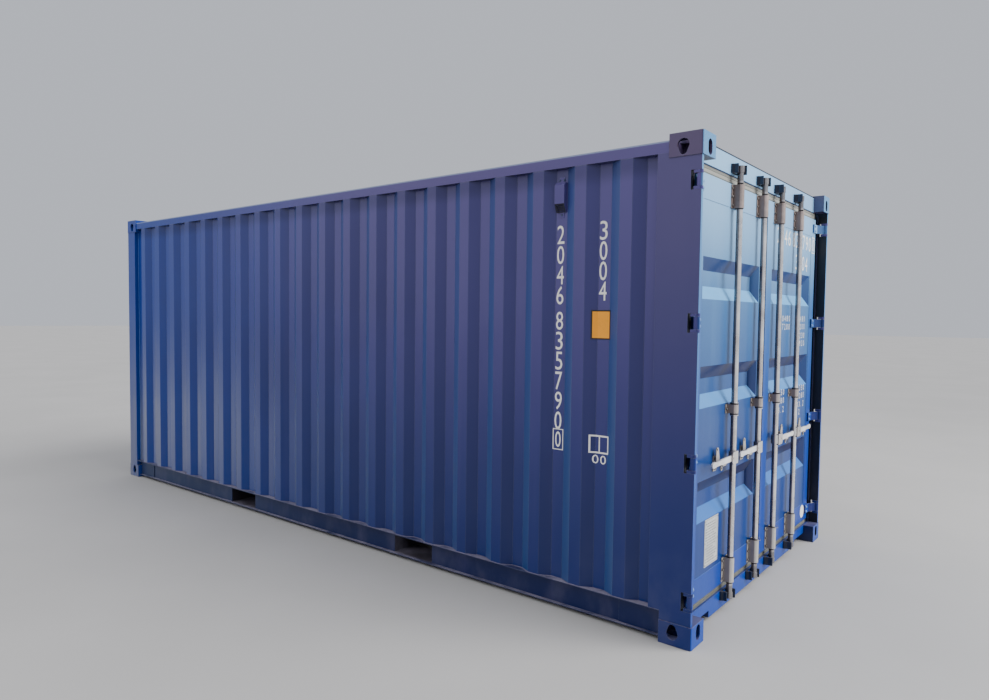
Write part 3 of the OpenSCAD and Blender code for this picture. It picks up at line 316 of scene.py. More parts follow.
class Paint(Finish):
    """Paint on steel, whose methods lay one more layer each over shade."""

    def __init__(self, name, low, high, bright):
        super().__init__(name)
        self.look = bpy.context.scene.container_paint
        self.high = high
        self.blotch = self.noise(0.8, 5, shift=3.1)
        self.streak = self.noise(1.0, 4, (9, 9, 0.30), 7.7)
        self.fine = self.noise(42, 4, shift=1.3)
        # Height ramp from low to high: painted light, brighter towards the top, and steeper on the doors
        rise = self.z / CAD_BOX[1][2] + (self.blotch - 0.5) * 0.16 + (self.streak - 0.5) * 0.10
        self.rise = rise.over(0.05, 1.0)
        if bright:
            self.rise = self.rise * (self.rise * 0.85 + 0.15)
        self.shade = self.rise.tint(low, high)

    def toward_front(self, far, pale, brow):
        """Painted reflection: bluer to the front end, blue slopes, broken chalky dust and sheen on low flats;
        painted shadow below the rail.
        """
        # Painted reflection: the colour far, bluer towards the front end
        along = (-self.x + (self.blotch - 0.5) * 1.6).over(-1.4, 3.2)
        self.lay(along * 0.93, far)
        # Painted reflection: bluer slopes that face away from the doors
        slope = self.ahead.over(-0.20, -0.40) * self.ahead.over(-0.80, -0.70)
        self.lay(slope * 0.5, SLOPE_BLUE)
        # Chalky dust and a painted sheen of the pale ground on low flats
        chalk_and_sheen = (-self.x).over(-0.4, 2.4) * self.z.over(2.0, 0.3) * self.ahead.over(0.30, 0.12)
        chalk_and_sheen = chalk_and_sheen * (0.35 + 0.65 * self.streak.over(0.35, 0.70))
        chalk_and_sheen = chalk_and_sheen * (0.5 + 0.5 * self.blotch.over(0.35, 0.65))
        self.lay(chalk_and_sheen * pale, CHALK_AND_SHEEN)
        self.dim(self.z.over(2.37, 2.46) * brow, BROW_SHADOW)

    def cloud(self):
        """Streaks that run down and large dull blotches."""
        self.lay(self.streak.over(0.52, 0.80) * 0.12, self.high)
        self.dim(self.blotch.over(0.62, 0.30) * 0.22, (0.55, 0.60, 0.70))

    def on_wall(self):
        """Painted shade: darker slopes of the walls where they face the doors."""
        slope = self.ahead.over(0.20, 0.42) * self.ahead.over(0.95, 0.86)
        self.dim(slope * 0.8, (0.50, 0.62, 0.70))

    def on_door(self, lit, away):
        """Painted light and shade: darker to the right and facing left, lighter upwards and facing up, a
        painted shadow under the roof's edge.
        """
        # Painted shade, darker to the right
        self.dim(self.y.over(-0.9, 1.3) * away, (0.40, 0.52, 0.72))
        # Painted light of the sky, lighter towards the top of the doors
        self.lay(self.z.over(1.7, 2.5) * 0.60, DOOR_SKY)
        # Painted shade on slopes that face left
        self.dim(self.sideways.over(-0.12, -0.38) * 0.9, (0.10, 0.18, 0.34))
        # Painted light on slopes that face up
        facing_up = self.z.over(0.6, 2.1).tint(scaled(lit, 0.30, 0.38, 0.62), lit)
        self.lay(self.upward.over(0.10, 0.40) * 0.70, facing_up)
        # Painted shadow line under the roof's edge
        self.lay(self.z.over(2.573, 2.577), (0.010, 0.015, 0.030))

    def on_post(self):
        """Door end of posts and fittings: painted light, the doors' lit colour on the front fold, and painted
        shade behind the fold, in the channel and in the hinge notches.
        """
        facing = self.ahead.over(0.60, 0.95) * self.x.over(2.90, 2.95)
        # Painted shade on front faces behind the fold
        self.dim(facing * self.x.over(3.010, 3.000), (0.12, 0.18, 0.34))
        # Painted light: the doors' lit colours on the front fold
        door = self.rise.tint(self.look.door_low, self.look.door_high)
        self.lay(facing * self.x.over(3.005, 3.015), door)
        # Painted shade on the inner faces of the right post and fitting
        inner = self.y.over(1.0, 1.1) * self.sideways.over(-0.3, -0.8)
        self.lay(inner, self.z.over(2.44, 2.46).tint(CHANNEL_DARK, FITTING_DARK))
        # Painted shade in the hinge notches
        across = self.aside.over(1.190, 1.194) * self.aside.over(1.2135, 1.2125)
        notch = across * self.x.over(2.955, 2.957) * self.x.over(3.021, 3.018)
        self.lay(notch, (0.004, 0.006, 0.012))

    def wear(self, edge, dust, splash, rim, rust):
        """Rubbed edges, dust, a painted highlight just below the height rim, and rusty chips."""
        self.lay(edge * 0.25, (0.36, 0.42, 0.55))
        ledge = self.upward.over(0.55, 0.95) * self.noise(5, 5, shift=9.0).over(0.25, 0.62)
        low_down = self.z.over(0.75, 0.02) * self.noise(6, 6, (1, 1, 0.6), 4.4).over(0.42, 0.72)
        self.grime = ledge * dust + low_down * splash * 0.45
        self.lay(self.grime, self.look.dust)
        # Painted highlight along the edge below the height rim
        if rim is not None:
            self.lay(self.z.over(rim - 0.009, rim - 0.004) * 0.6, (0.34, 0.42, 0.60))
        chips = self.noise(19, 6, shift=5.5, rough=0.7) + edge * 0.22
        start = 0.80 - 0.16 * self.look.wear
        self.bare = chips.over(start, start + 0.06) * rust
        self.lay(self.bare, self.fine.over(0.3, 0.7).tint(self.look.rust, OLD_RUST))


def painted(
    nodes, name, low, high, far=None, pale=0.85, brow=0.0, lit=None, away=0.35, under=(0.35, 0.40, 0.50),
    post=False, beyond=None, radius=0.003, rim=None, dust=0.3, splash=0.2, rust=0.3, dents=0.0, coat=0.15,
    shine=0.0,
):  # fmt: skip
    """Gives CAD nodes paint that goes from the colour low at the ground to high at the top, a painted
    brightening upwards.

    far, pale, brow: colour of the front end, a painted reflection, with chalky dust and painted sheen there,
    and painted shadow below the top rail
    lit, away: on doors, painted light on slopes that face up, painted shade to the right
    under: painted shade on faces that point down; post: painted light and shade at the door end of a post
    beyond: colours, low and high, of what lies on the wall side of the left post, painted shade there
    radius, rim: rounding of edges and height of an edge with a painted highlight, in metres
    shine: clear coat that is added low down where the paint is seen at a slant
    """
    net = Paint(name, low, high, lit is not None)
    if far is not None:
        net.toward_front(far, pale, brow)
    net.cloud()
    if lit is None:
        net.on_wall()
    else:
        net.on_door(lit, away)
    # Painted shade on faces that point down
    net.dim(net.upward.over(-0.10, -0.40), under)
    if post:
        net.on_post()
    if beyond is not None:
        # Painted shade: wall colours on the part beyond the left post
        left_fold = net.y.over(-1.126, -1.132) * net.ahead.over(0.8, 0.4)
        net.lay(left_fold, net.rise.tint(*beyond))
    soft = net.softened(radius)
    net.wear(net.edges(soft), dust, splash, rim, rust)
    rough = net.look.gloss + net.fine * 0.08 + net.grime * 0.40 + net.bare * 0.45 + (net.blotch - 0.5) * 0.10
    relief = net.fine * 0.05 + net.bare * -0.12
    if dents:
        relief = relief + net.noise(2.1, 2, (1, 1, 0.7), 2.2) * dents
    slant = net.put("ShaderNodeLayerWeight", out="Facing", Blend=0.5).over(0.25, 0.60)
    clear = {"Coat_Weight": coat + slant * net.z.over(1.7, 0.5) * shine, "Coat_Roughness": 0.14}
    relief = net.bump(relief, 0.004, soft)
    dress(net.close(Roughness=rough, Normal=relief, Specular_IOR_Level=0.3, **clear), nodes)


def galvanised(
    name, zinc, rough=0.42, stain=0.4, metallic=0.75, cams=None, joints=(), turned=0.9, low=None
):
    """Zinc on steel, mottled, with brown stains and a dark side turned away from the doors' light.

    cams: colour of the forged ends of a bar; joints: heights with a dark ring round the bar, stain and
    painted shade at a bracket's end
    turned: how dark the side is that turns away; low: colour of the lower half
    """
    look = bpy.context.scene.container_paint
    net = Finish(name)
    cells = net.put("ShaderNodeTexVoronoi", out="Distance", Vector=net.place, Scale=90.0)
    blotch = net.noise(7, 5, shift=2.0)
    run = net.noise(1.0, 4, (22, 22, 1.6), 6.0)
    fine = net.noise(160, 3)
    light = tuple(min(1, c * 1.25) for c in zinc)
    net.shade = blotch.over(0.25, 0.75).tint(scaled(zinc, 0.55), light)
    net.lay(cells.over(0.0, 0.6) * 0.25, light)
    soft = net.softened(0.002)
    edge = net.edges(soft)
    stains = (run * 0.6 + blotch * 0.4 + edge * 0.08).over(0.60, 0.74) * stain
    net.lay(stains, fine.over(0.3, 0.7).tint(look.rust, (0.21, 0.12, 0.075)))
    net.lay(edge * 0.35, light)
    if low is not None:
        net.lay(net.z.over(1.5, 0.7) * 0.75, low)
    net.dim(net.ahead.over(0.45, 0.15) * turned, (0.22, 0.16, 0.14))
    # Dark rings at the bracket ends: stain and painted shade
    for z in joints:
        net.lay(abs(net.z - z).over(0.012, 0.005), (0.05, 0.04, 0.04))
    if cams is not None:
        ends = net.z.over(2.425, 2.445) + net.z.over(0.165, 0.145)
        net.lay(ends * 0.7, cams)
    rough = rough + (blotch - 0.5) * 0.22 + stains * 0.35
    relief = net.bump(fine * 0.3 + blotch, 0.0006, soft)
    return net.close(Roughness=rough, Metallic=metallic - stains * 0.6, Normal=relief)


def rubber(name, shade):
    """Weathered seal rubber, with dust in its folds, paler at the top, and painted shade where it passes the
    posts.
    """
    net = Finish(name)
    blotch = net.noise(9, 5)
    fine = net.noise(120, 3)
    net.shade = (blotch * 0.7 + fine * 0.3).over(0.3, 0.7).tint(scaled(shade, 0.5), shade)
    net.lay(net.z.over(2.30, 2.42), scaled(shade, 1.8))
    # Painted shade on the seal at the posts
    net.lay(net.aside.over(1.122, 1.130), (0.006, 0.008, 0.016))
    relief = net.bump(fine, 0.0005, net.softened(0.004))
    return net.close(Roughness=0.62 + fine * 0.25, Normal=relief)


def plywood(name, shade):
    """Floor boards: long grain, scuffs and dirt."""
    net = Finish(name)
    grain = net.noise(1.0, 6, (3, 60, 3), 1.0, 0.65)
    scuff = net.noise(1.6, 6, (0.4, 2, 1), 4.0, 0.7)
    dirt = net.noise(0.7, 5, shift=8.0)
    net.shade = grain.over(0.3, 0.7).tint(scaled(shade, 0.45), shade)
    net.lay(scuff.over(0.5, 0.75) * 0.55, (0.30, 0.26, 0.22))
    net.lay(dirt.over(0.55, 0.75) * 0.5, (0.05, 0.04, 0.035))
    relief = net.bump(grain * 0.6 + scuff * 0.4, 0.0015, net.softened(0.002))
    return net.close(Roughness=0.55 + scuff * 0.35, Normal=relief)


def plain_film(name, shade, rough=0.5, worn=0.25):
    """Printed or sprayed film: one colour with slight fading and scuffs."""
    net = Finish(name)
    blotch = net.noise(6, 5, shift=1.1)
    fine = net.noise(70, 4, shift=2.2)
    fade = blotch.over(0.35, 0.7) * worn + fine.over(0.55, 0.7) * worn
    net.shade = fade.tint(shade, scaled(shade, 0.72))
    return net.close(Roughness=rough + fine * 0.2, Normal=net.bump(fine, 0.0002, net.normal))


def brushed(name, shade):
    """Thin aluminium plate with fine brushing."""
    net = Finish(name)
    brush = net.noise(1.0, 3, (30, 900, 60), 1.0)
    blotch = net.noise(14, 5, shift=3.0)
    net.shade = (brush * 0.5 + blotch * 0.5).over(0.3, 0.7).tint(scaled(shade, 0.7), shade)
    relief = net.bump(brush, 0.0002, net.normal)
    return net.close(Roughness=0.42 + blotch * 0.2, Metallic=0.35, Normal=relief)


def growth(name, **inputs):
    """A new Geometry Nodes tree with named inputs, given with their defaults."""
    group = bpy.data.node_groups.new(name, "GeometryNodeTree")
    group.interface.new_socket("Geometry", in_out="INPUT", socket_type="NodeSocketGeometry")
    for label, default in inputs.items():
        socket = group.interface.new_socket(label, in_out="INPUT", socket_type=SOCKETS[type(default)])
        if default is not None:
            socket.default_value = default
    group.interface.new_socket("Geometry", in_out="OUTPUT", socket_type="NodeSocketGeometry")
    tree = Tree(group)
    source = tree.put("NodeGroupInput", out=None)
    return tree, {s.name: s for s in source.outputs if s.name}


def end_growth(tree, shape, material):
    """Ends a tree with real geometry in one material."""
    shape = tree.put("GeometryNodeRealizeInstances", values={0: shape})
    shape = tree.put("GeometryNodeSetMaterial", Geometry=shape, Material=material)
    tree.put("NodeGroupOutput", values={0: shape}, out=None)


def heads_tree():
    """Hexagon or round heads on washers, one on each point, turned along the attribute aim."""
    tree, ask = growth(
        "Heads", Radius=0.01, Height=0.006, Corners=6, Dome=0.0, Washer=0.014, Seed=0, Material=None
    )
    height = Wire(tree, ask["Height"])
    head = tree.put("GeometryNodeMeshCylinder", Vertices=ask["Corners"], Radius=ask["Radius"], Depth=height)
    middle = tree.put("ShaderNodeCombineXYZ", Z=height * 0.5 + 0.0015)
    head = tree.put("GeometryNodeTransform", Geometry=head, Translation=middle)
    ball = tree.put("GeometryNodeMeshUVSphere", Segments=12, Rings=6, Radius=ask["Radius"])
    squeeze = tree.put("ShaderNodeCombineXYZ", X=0.92, Y=0.92, Z=ask["Dome"])
    lift = tree.put("ShaderNodeCombineXYZ", Z=height + 0.001)
    ball = tree.put("GeometryNodeTransform", Geometry=ball, Translation=lift, Scale=squeeze)
    disc = tree.put("GeometryNodeMeshCylinder", Vertices=16, Radius=ask["Washer"], Depth=0.003)
    all_parts = tree.put("GeometryNodeJoinGeometry", out=None)
    for part in (head, ball, disc):
        tree.nodes.links.new(part.socket, all_parts.inputs[0])
    vector = {"data_type": "FLOAT_VECTOR"}
    aim = tree.put("GeometryNodeInputNamedAttribute", vector, out="Attribute", Name="aim")
    turn = tree.put("FunctionNodeAlignRotationToVector", {"axis": "Z"}, Vector=aim)
    spin = tree.put("ShaderNodeCombineXYZ", Z=tree.chance(0.0, math.tau, ask["Seed"]))
    spin = tree.put("FunctionNodeEulerToRotation", values={0: spin})
    turn = tree.put("FunctionNodeRotateRotation", {"rotation_space": "LOCAL"}, {0: turn, 1: spin})
    joined = Wire(tree, all_parts.outputs[0])
    shape = tree.put("GeometryNodeInstanceOnPoints", Points=ask["Geometry"], Instance=joined, Rotation=turn)
    end_growth(tree, shape, ask["Material"])


def run_tree():
    """A round run along every edge chain, with an uneven surface where Wobble is set."""
    tree, ask = growth("Run", Radius=0.004, Sides=6, Step=0.02, Wobble=0.0, Seed=0, Material=None)
    path = tree.put("GeometryNodeMeshToCurve", values={0: ask["Geometry"]})
    path = tree.put("GeometryNodeResampleCurve", {"mode": "LENGTH"}, Curve=path, Length=ask["Step"])
    uneven = tree.chance(-1.0, 1.0, ask["Seed"]) * Wire(tree, ask["Wobble"])
    thick = Wire(tree, ask["Radius"]) * (1 + uneven)
    path = tree.put("GeometryNodeSetCurveRadius", Curve=path, Radius=thick)
    ring = tree.put("GeometryNodeCurvePrimitiveCircle", Resolution=ask["Sides"], Radius=1.0)
    tube = {"Curve": path, "Profile Curve": ring, "Scale": thick, "Fill Caps": True}
    shape = tree.put("GeometryNodeCurveToMesh", values=tube)
    end_growth(tree, shape, ask["Material"])


def linked(name, data):
    """A new object in the scene."""
    obj = bpy.data.objects.new(name, data)
    bpy.context.scene.collection.objects.link(obj)
    return obj


def final_mesh(holder):
    """The finished mesh of an object, which is then removed."""
    bpy.context.view_layer.update()
    ready = holder.evaluated_get(bpy.context.evaluated_depsgraph_get())
    mesh = bpy.data.meshes.new_from_object(ready)
    bpy.data.objects.remove(holder)
    return mesh


def grown(name, source, tree, body, slot, material, smooth, **inputs):
    """Runs a tree on a mesh and keeps the result as a plain piece that rides on a body."""
    inputs |= {"Seed": bpy.context.scene.container_fasteners.seed, "Material": material}
    seedling = linked(name + "_source", source)
    maker = seedling.modifiers.new("Grow", "NODES")
    maker.node_group = bpy.data.node_groups[tree]
    keys = {s.name: s.identifier for s in maker.node_group.interface.items_tree if s.in_out == "INPUT"}
    for label, value in inputs.items():
        maker[keys[label]] = value
    mesh = final_mesh(seedling)
    if not mesh.polygons:
        raise RuntimeError(f"{name} came out empty")
    piece(name, mesh, body, material, smooth)


def piece(name, mesh, body, material, smooth=False):
    """Links a mesh as a finished piece."""
    mesh.name = name
    mesh.materials.clear()
    mesh.materials.append(material)
    for face in mesh.polygons:
        face.material_index = 0
        face.use_smooth = smooth
    obj = linked(name, mesh)
    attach(obj, body)


def points(places):
    """A mesh of points with the attribute aim, from (place, direction) pairs."""
    mesh = bpy.data.meshes.new("places")
    mesh.from_pydata([p for p, _ in places], [], [])
    aim = mesh.attributes.new("aim", "FLOAT_VECTOR", "POINT")
    for entry, (_, direction) in zip(aim.data, places):
        entry.vector = direction
    return mesh


def chains(paths):
    """A mesh of edge chains, each a list of places; a chain that ends where it starts is closed."""
    verts, edges = [], []
    for path in paths:
        closed = (Vector(path[0]) - Vector(path[-1])).length < 1e-6
        run = path[:-1] if closed else path
        first = len(verts)
        verts += run
        edges += [(first + k, first + k + 1) for k in range(len(run) - 1)]
        if closed:
            edges.append((len(verts) - 1, first))
    mesh = bpy.data.meshes.new("chains")
    mesh.from_pydata(verts, edges, [])
    return mesh


def solids(node):
    """Boxes of the separate solids of a CAD node, as (lowest corner, highest corner)."""
    work = bmesh.new()
    work.from_mesh(NODES[node].data)
    bmesh.ops.remove_doubles(work, verts=work.verts, dist=1e-5)
    boxes, seen = [], set()
    for vert in work.verts:
        if vert in seen:
            continue
        group = [vert]
        seen.add(vert)
        for at in group:
            fresh = {edge.other_vert(at) for edge in at.link_edges} - seen
            group += fresh
            seen |= fresh
        boxes.append([Vector(end(v.co[k] for v in group) for k in range(3)) for end in (min, max)])
    work.free()
    return boxes


def dress(material, nodes):
    """Gives CAD nodes, named in one text, a material in their material slots."""
    for node in nodes.split():
        for slot in NODES[node].material_slots:
            slot.material = material


def heads(name, places, body, slot, metal, radius, dome=0.45, corners=12, height=None, washer=None):
    """Heads on (place, direction) pairs; those with more than six corners are smooth."""
    sizes = {"Radius": radius, "Height": height or radius * 0.25, "Washer": washer or radius * 1.25}
    metal = bpy.data.materials[metal]
    grown(name, points(places), "Heads", body, slot, metal, corners > 6, Corners=corners, Dome=dome, **sizes)


def tube_run(name, paths, body, slot, radius, material, sides=6, step=0.018, wobble=0.0):
    """Round runs along paths, each a list of places."""
    sizes = {"Radius": radius, "Sides": sides, "Step": step, "Wobble": wobble}
    grown(name, chains(paths), "Run", body, slot, material, True, **sizes)


class Skin:
    """The outer surface of a CAD node, found by looking at it along an axis from the place start."""

    def __init__(self, node, look, start):
        mesh = NODES[node].data
        mesh.calc_loop_triangles()
        corners = [v.co for v in mesh.vertices]
        self.tree = BVHTree.FromPolygons(corners, [t.vertices for t in mesh.loop_triangles])
        self.look = Vector(look)
        self.start = start
        self.across = 0 if abs(self.look.y) > 0.5 else 1
        self.creases = sorted({round(v.co[self.across], 5) for v in mesh.vertices})

    def reach(self, across, z):
        """The place on the surface at a distance across and a height z."""
        for off in (0, 2e-4, -2e-4):
            origin = Vector((self.start, self.start, z + off))
            origin[self.across] = across + off
            place, _, _, _ = self.tree.ray_cast(origin, self.look)
            if place is not None:
                place[self.across], place.z = across, z
                return place
        raise RuntimeError("nothing behind a decal")


def lay_on(work, skin, lift):
    """Bends a flat mesh, drawn in its X and Y, on to a skin: X runs across and Y upwards."""
    for at in skin.creases:
        if min(v.co.x for v in work.verts) < at < max(v.co.x for v in work.verts):
            parts = work.verts[:] + work.edges[:] + work.faces[:]
            bmesh.ops.bisect_plane(work, geom=parts, plane_co=(at, 0, 0), plane_no=(1, 0, 0))
    for vert in work.verts:
        vert.co = skin.reach(vert.co.x, vert.co.y) - skin.look * lift
    bmesh.ops.recalc_face_normals(work, faces=work.faces[:])
    toward = sum((f.normal.dot(skin.look) * f.calc_area() for f in work.faces), 0.0)
    if toward > 0:
        bmesh.ops.reverse_faces(work, faces=work.faces[:])


def digit_shape(digit, x, z, height, width, flip=False):
    """Flat mesh of a plain digit with its lower left corner at x and z."""
    curve = bpy.data.curves.new("digit", "FONT")
    curve.body = digit
    curve.resolution_u = 3
    mesh = final_mesh(linked("digit", curve))
    work = bmesh.new()
    work.from_mesh(mesh)
    bpy.data.meshes.remove(mesh)
    low = [min(v.co[k] for v in work.verts) for k in range(2)]
    high = [max(v.co[k] for v in work.verts) for k in range(2)]
    for vert in work.verts:
        u, v = ((vert.co[k] - low[k]) / (high[k] - low[k]) for k in range(2))
        vert.co = (x + (1 - u if flip else u) * width, z + v * height, 0)
    return work


def patch(x, z, width, height, work=None):
    """Flat rectangle, added to work where that is given."""
    if work is None:
        work = bmesh.new()
    corners = [(x, z), (x + width, z), (x + width, z + height), (x, z + height)]
    work.faces.new([work.verts.new((p, q, 0)) for p, q in corners])
    return work


def outline(x, z, width, height, line):
    """Flat frame of four bars."""
    work = bmesh.new()
    patch(x, z, width, line, work)
    patch(x, z + height - line, width, line, work)
    patch(x, z + line, line, height - 2 * line, work)
    patch(x + width - line, z + line, line, height - 2 * line, work)
    return work


def decal(name, works, skin, lift, body, slot, material):
    """Lays flat meshes on a skin as one thin piece."""
    total = bmesh.new()
    for work in works:
        lay_on(work, skin, lift)
        part = bpy.data.meshes.new("part")
        work.to_mesh(part)
        work.free()
        total.from_mesh(part)
        bpy.data.meshes.remove(part)
    mesh = bpy.data.meshes.new(name)
    total.to_mesh(mesh)
    total.free()
    piece(name, mesh, body, material)


class CONTAINER_OT_paint(Operator):
    """Paints the steel shell, the frame, the base and the doors"""

    bl_idname = "container.paint"
    bl_label = "Paint the steel"

    def execute(self, context):
        look = context.scene.container_paint
        low, high, far = look.wall_low, look.wall_high, look.wall_far
        wall = {"brow": 0.6, "radius": 0.008, "splash": 0.08, "dents": 0.9, "coat": 0.25, "shine": 0.75}
        painted("left_side_wall right_side_wall", "side_wall_paint", low, high, far, **wall)
        middle = tuple((a + b) / 2 for a, b in zip(high, far))
        painted("front_wall", "front_wall_paint", low, middle, dents=0.9)
        mauve = scaled(high, 0.92, 0.94, 0.80)
        posts = "front_corner_posts rear_corner_posts"
        painted(posts, "frame_paint", low, mauve, far, post=True, rust=0.6, dents=0.35)
        violet, rim = scaled(high, 1.15, 1.12, 1.0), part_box("top_side_rails")[1].z
        painted("top_side_rails front_top_rail", "rail_paint", low, violet, far, rim=rim, rust=0.6, dents=0.3)
        navy, deep = (0.005, 0.025, 0.090), scaled(low, 0.55)
        rails = "bottom_side_rails rail_end_gussets front_bottom_rail"
        painted(rails, "base_rail_paint", deep, high, navy, pale=0.08, dust=0.8, splash=0.25, rust=0.6)
        grey = scaled(high, 1.08, 0.94, 0.62)
        fittings = "top_corner_fittings bottom_corner_fittings"
        painted(fittings, "fitting_paint", low, grey, far, post=True, radius=0.005, rust=1.0)
        painted("ventilators", "ventilator_paint", low, high, under=(0.03, 0.05, 0.09), radius=0.002)
        painted("hinge_lugs_and_pins", "lug_paint", low, high, rust=0.9)
        faded = (scaled(look.roof, 0.8), look.roof)
        painted("roof_panel roof_end_plates", "roof_paint", *faded, dust=0.35, rust=1.0, dents=0.9)
        base, brown, black = (look.base,) * 2, ((0.030, 0.026, 0.034),) * 2, (look.keeper,) * 2
        painted("cross_members floor_centre_rail", "base_paint", *base, splash=1.0, rust=0.9)
        painted("fork_pockets", "fork_pocket_paint", *brown, splash=1.0, rust=1.0)
        painted("header_cam_keepers sill_cam_keepers", "keeper_paint", *black, dust=0.2, rust=0.8)

        # Doors: lit copies of the wall paint, painted light, with painted shade on faces that point down
        low, high, lit, under = look.door_low, look.door_high, look.lit, (0.045, 0.145, 0.34)
        header = {"lit": lit, "away": 1.0, "under": under, "dust": 0.1, "splash": 0.04, "coat": 0.05}
        painted("door_header", "door_frame_paint", low, high, dents=0.2, **header)
        sill = {"lit": (0.02, 0.07, 0.20), "dust": 0.1, "splash": 0.06}
        painted("door_sill", "sill_paint", low, high, rust=0.5, dents=0.2, **sill)
        door = {"lit": lit, "under": under, "splash": 0.04, "coat": 0.25}
        painted("left_door_frame right_door_frame", "door_paint", low, high, dents=0.2, **door)
        panels, deep = "left_door_panel right_door_panel", scaled(low, 1.0, 0.75, 0.62)
        painted(panels, "door_panel_paint", deep, high, away=0.0, dents=0.5, **door)
        # Painted shade: hinge blades in a darker copy of the door paint, and in wall colours past the left
        # post
        dull, walls = scaled(high, 0.6), (look.wall_low, look.wall_high)
        blades = "left_hinge_blades right_hinge_blades"
        painted(blades, "hinge_paint", low, dull, lit=dull, beyond=walls, rust=0.8)
        return {"FINISHED"}


class CONTAINER_OT_metal(Operator):
    """Finishes the galvanised gear, the seals and the floor"""

    bl_idname = "container.metal"
    bl_label = "Finish metal, rubber and wood"

    def execute(self, context):
        look = context.scene.container_metal
        bars = " ".join(f"{side}_{place}_locking_bar" for side, _ in SIDES for place in ("outer", "inner"))
        gear = "left_bar_brackets right_bar_brackets left_handle_retainers right_handle_retainers"
        ends = sorted({round(z, 2) for box in solids("left_bar_brackets") for z in (box[0].z, box[1].z)})
        dress(galvanised("bar_zinc", look.bar, 0.28, 0.20, 0.85, cams=look.cam, joints=ends), bars)
        handles = bars.replace("locking_bar", "handle")
        dress(galvanised("handle_zinc", look.handle, 0.38, 0.10, 0.30, turned=0.35), handles)
        pale = (0.66, 0.65, 0.60)
        dress(galvanised("bracket_zinc", look.bracket, 0.50, 0.45, 0.5, turned=0.7, low=pale), gear)
        galvanised("bolt_metal", look.bolt, 0.45, 0.5)
        dress(rubber("seal_rubber", look.seal), "left_door_seal right_door_seal")
        dress(plywood("floor_plywood", look.plywood), "floor_boards")
        return {"FINISHED"}


class CONTAINER_OT_trees(Operator):
    """Builds the node trees that make heads and runs"""

    bl_idname = "container.trees"
    bl_label = "Build the trees"

    def execute(self, context):
        heads_tree()
        run_tree()
        return {"FINISHED"}


class CONTAINER_OT_door_bolts(Operator):
    """Bolts the brackets, the hinge blades and the handle retainers to the leaves"""

    bl_idname = "container.door_bolts"
    bl_label = "Add the door bolts"

    def execute(self, context):
        size = context.scene.container_fasteners
        small = 0.8
        hexagon = {"corners": 6, "height": size.bolt_height * small, "washer": size.washer_radius * small}
        for side, sign in SIDES:
            places = []
            for low, high in solids(side + "_bar_brackets"):
                middle = (low.z + high.z) / 2
                tall = high.z - low.z > 0.1
                rows = (low.z + 0.018, middle, high.z - 0.018) if tall else (middle,)
                columns = (low.y + 0.011, high.y - 0.011)
                places += [(Vector((low.x + 0.004, y, z)), OUT) for z in rows for y in columns]
            for low, high in solids(side + "_handle_retainers"):
                y = (low.y + high.y) / 2
                rows = (low.z + 0.084 - 0.068, low.z + 0.084 - 0.016)
                places += [(Vector((low.x + 0.006, y, z)), OUT) for z in rows]
            radius = size.bolt_radius * small
            name = side + "_bracket_bolts"
            heads(name, places, side + "_leaf", "bracket_zinc", "bolt_metal", radius, 0.25, **hexagon)
            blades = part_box(side + "_hinge_blades")
            y = blades[1].y - 0.02 if sign < 0 else blades[0].y + 0.02
            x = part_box(side + "_door_frame")[1].x + 0.012
            middles = [(low.z + high.z) / 2 for low, high in solids(side + "_hinge_blades")]
            places = [(Vector((x, y, z + dz)), OUT) for z in middles for dz in (-0.017, 0.017)]
            heads(side + "_blade_rivets", places, side + "_leaf", "hinge_paint", "hinge_paint", 0.009)
        return {"FINISHED"}


class CONTAINER_OT_seal_lips(Operator):
    """Lays the lips of the door seals round both leaves"""

    bl_idname = "container.seal_lips"
    bl_label = "Add the seal lips"

    def execute(self, context):
        radius = context.scene.container_fasteners.lip_radius
        material = rubber("lip_rubber", scaled(context.scene.container_metal.seal, 0.8))
        for side, _ in SIDES:
            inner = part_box(side + "_door_frame")
            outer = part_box(side + "_door_seal")
            x = outer[1].x
            rings = []
            for share in (0.25, 0.72):
                low, high = (a + (b - a) * share for a, b in zip(inner, outer))
                corners = ((low.y, low.z), (high.y, low.z), (high.y, high.z), (low.y, high.z), (low.y, low.z))
                rings.append([(x, y, z) for y, z in corners])
            tube_run(side + "_seal_lips", rings, side + "_leaf", "seal_rubber", radius, material, 8, 0.05)
        return {"FINISHED"}


class CONTAINER_OT_wall_details(Operator):
    """Adds the screws of the ventilators and the weld beads of the walls"""

    bl_idname = "container.wall_details"
    bl_label = "Add the wall details"

    def execute(self, context):
        size = context.scene.container_fasteners
        places = []
        for low, high in solids("ventilators"):
            out = Vector((0, -1 if low.y < 0 else 1, 0))
            y = high.y - 0.0025 if low.y < 0 else low.y + 0.0025
            middle = (low.x + high.x) / 2
            top = high.z - 0.015
            for x, z in ((middle - 0.014, top), (middle + 0.014, top), (middle, low.z + 0.015)):
                places.append((Vector((x, y, z)), out))
        radius = size.rivet_radius
        heads("ventilator_screws", places, "container", "ventilator_paint", "keeper_paint", radius)
        paint = bpy.data.materials["side_wall_paint"]
        dusty = plain_film("foot_dust", (0.150, 0.135, 0.210), 0.8, 0.6)
        bead = ("container", "side_wall_paint", size.bead_radius)
        for side, sign in SIDES:
            skin = Skin(side + "_side_wall", (0, -sign, 0), sign * 2.0)
            low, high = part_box(side + "_side_wall")
            inside = [min(max(x, low.x + 1e-4), high.x - 1e-4) for x in skin.creases]
            foot = [(x, skin.reach(x, low.z + 0.01).y, low.z + 0.001) for x in inside]
            ends = ((low.x, foot[0][1]), (high.x, foot[-1][1]))
            posts = [[(x, y, low.z), (x, y, high.z - 0.03)] for x, y in ends]
            tube_run(side + "_wall_beads", posts, *bead, paint, wobble=0.25)
            tube_run(side + "_foot_bead", [foot], *bead, dusty, wobble=0.25)
        return {"FINISHED"}


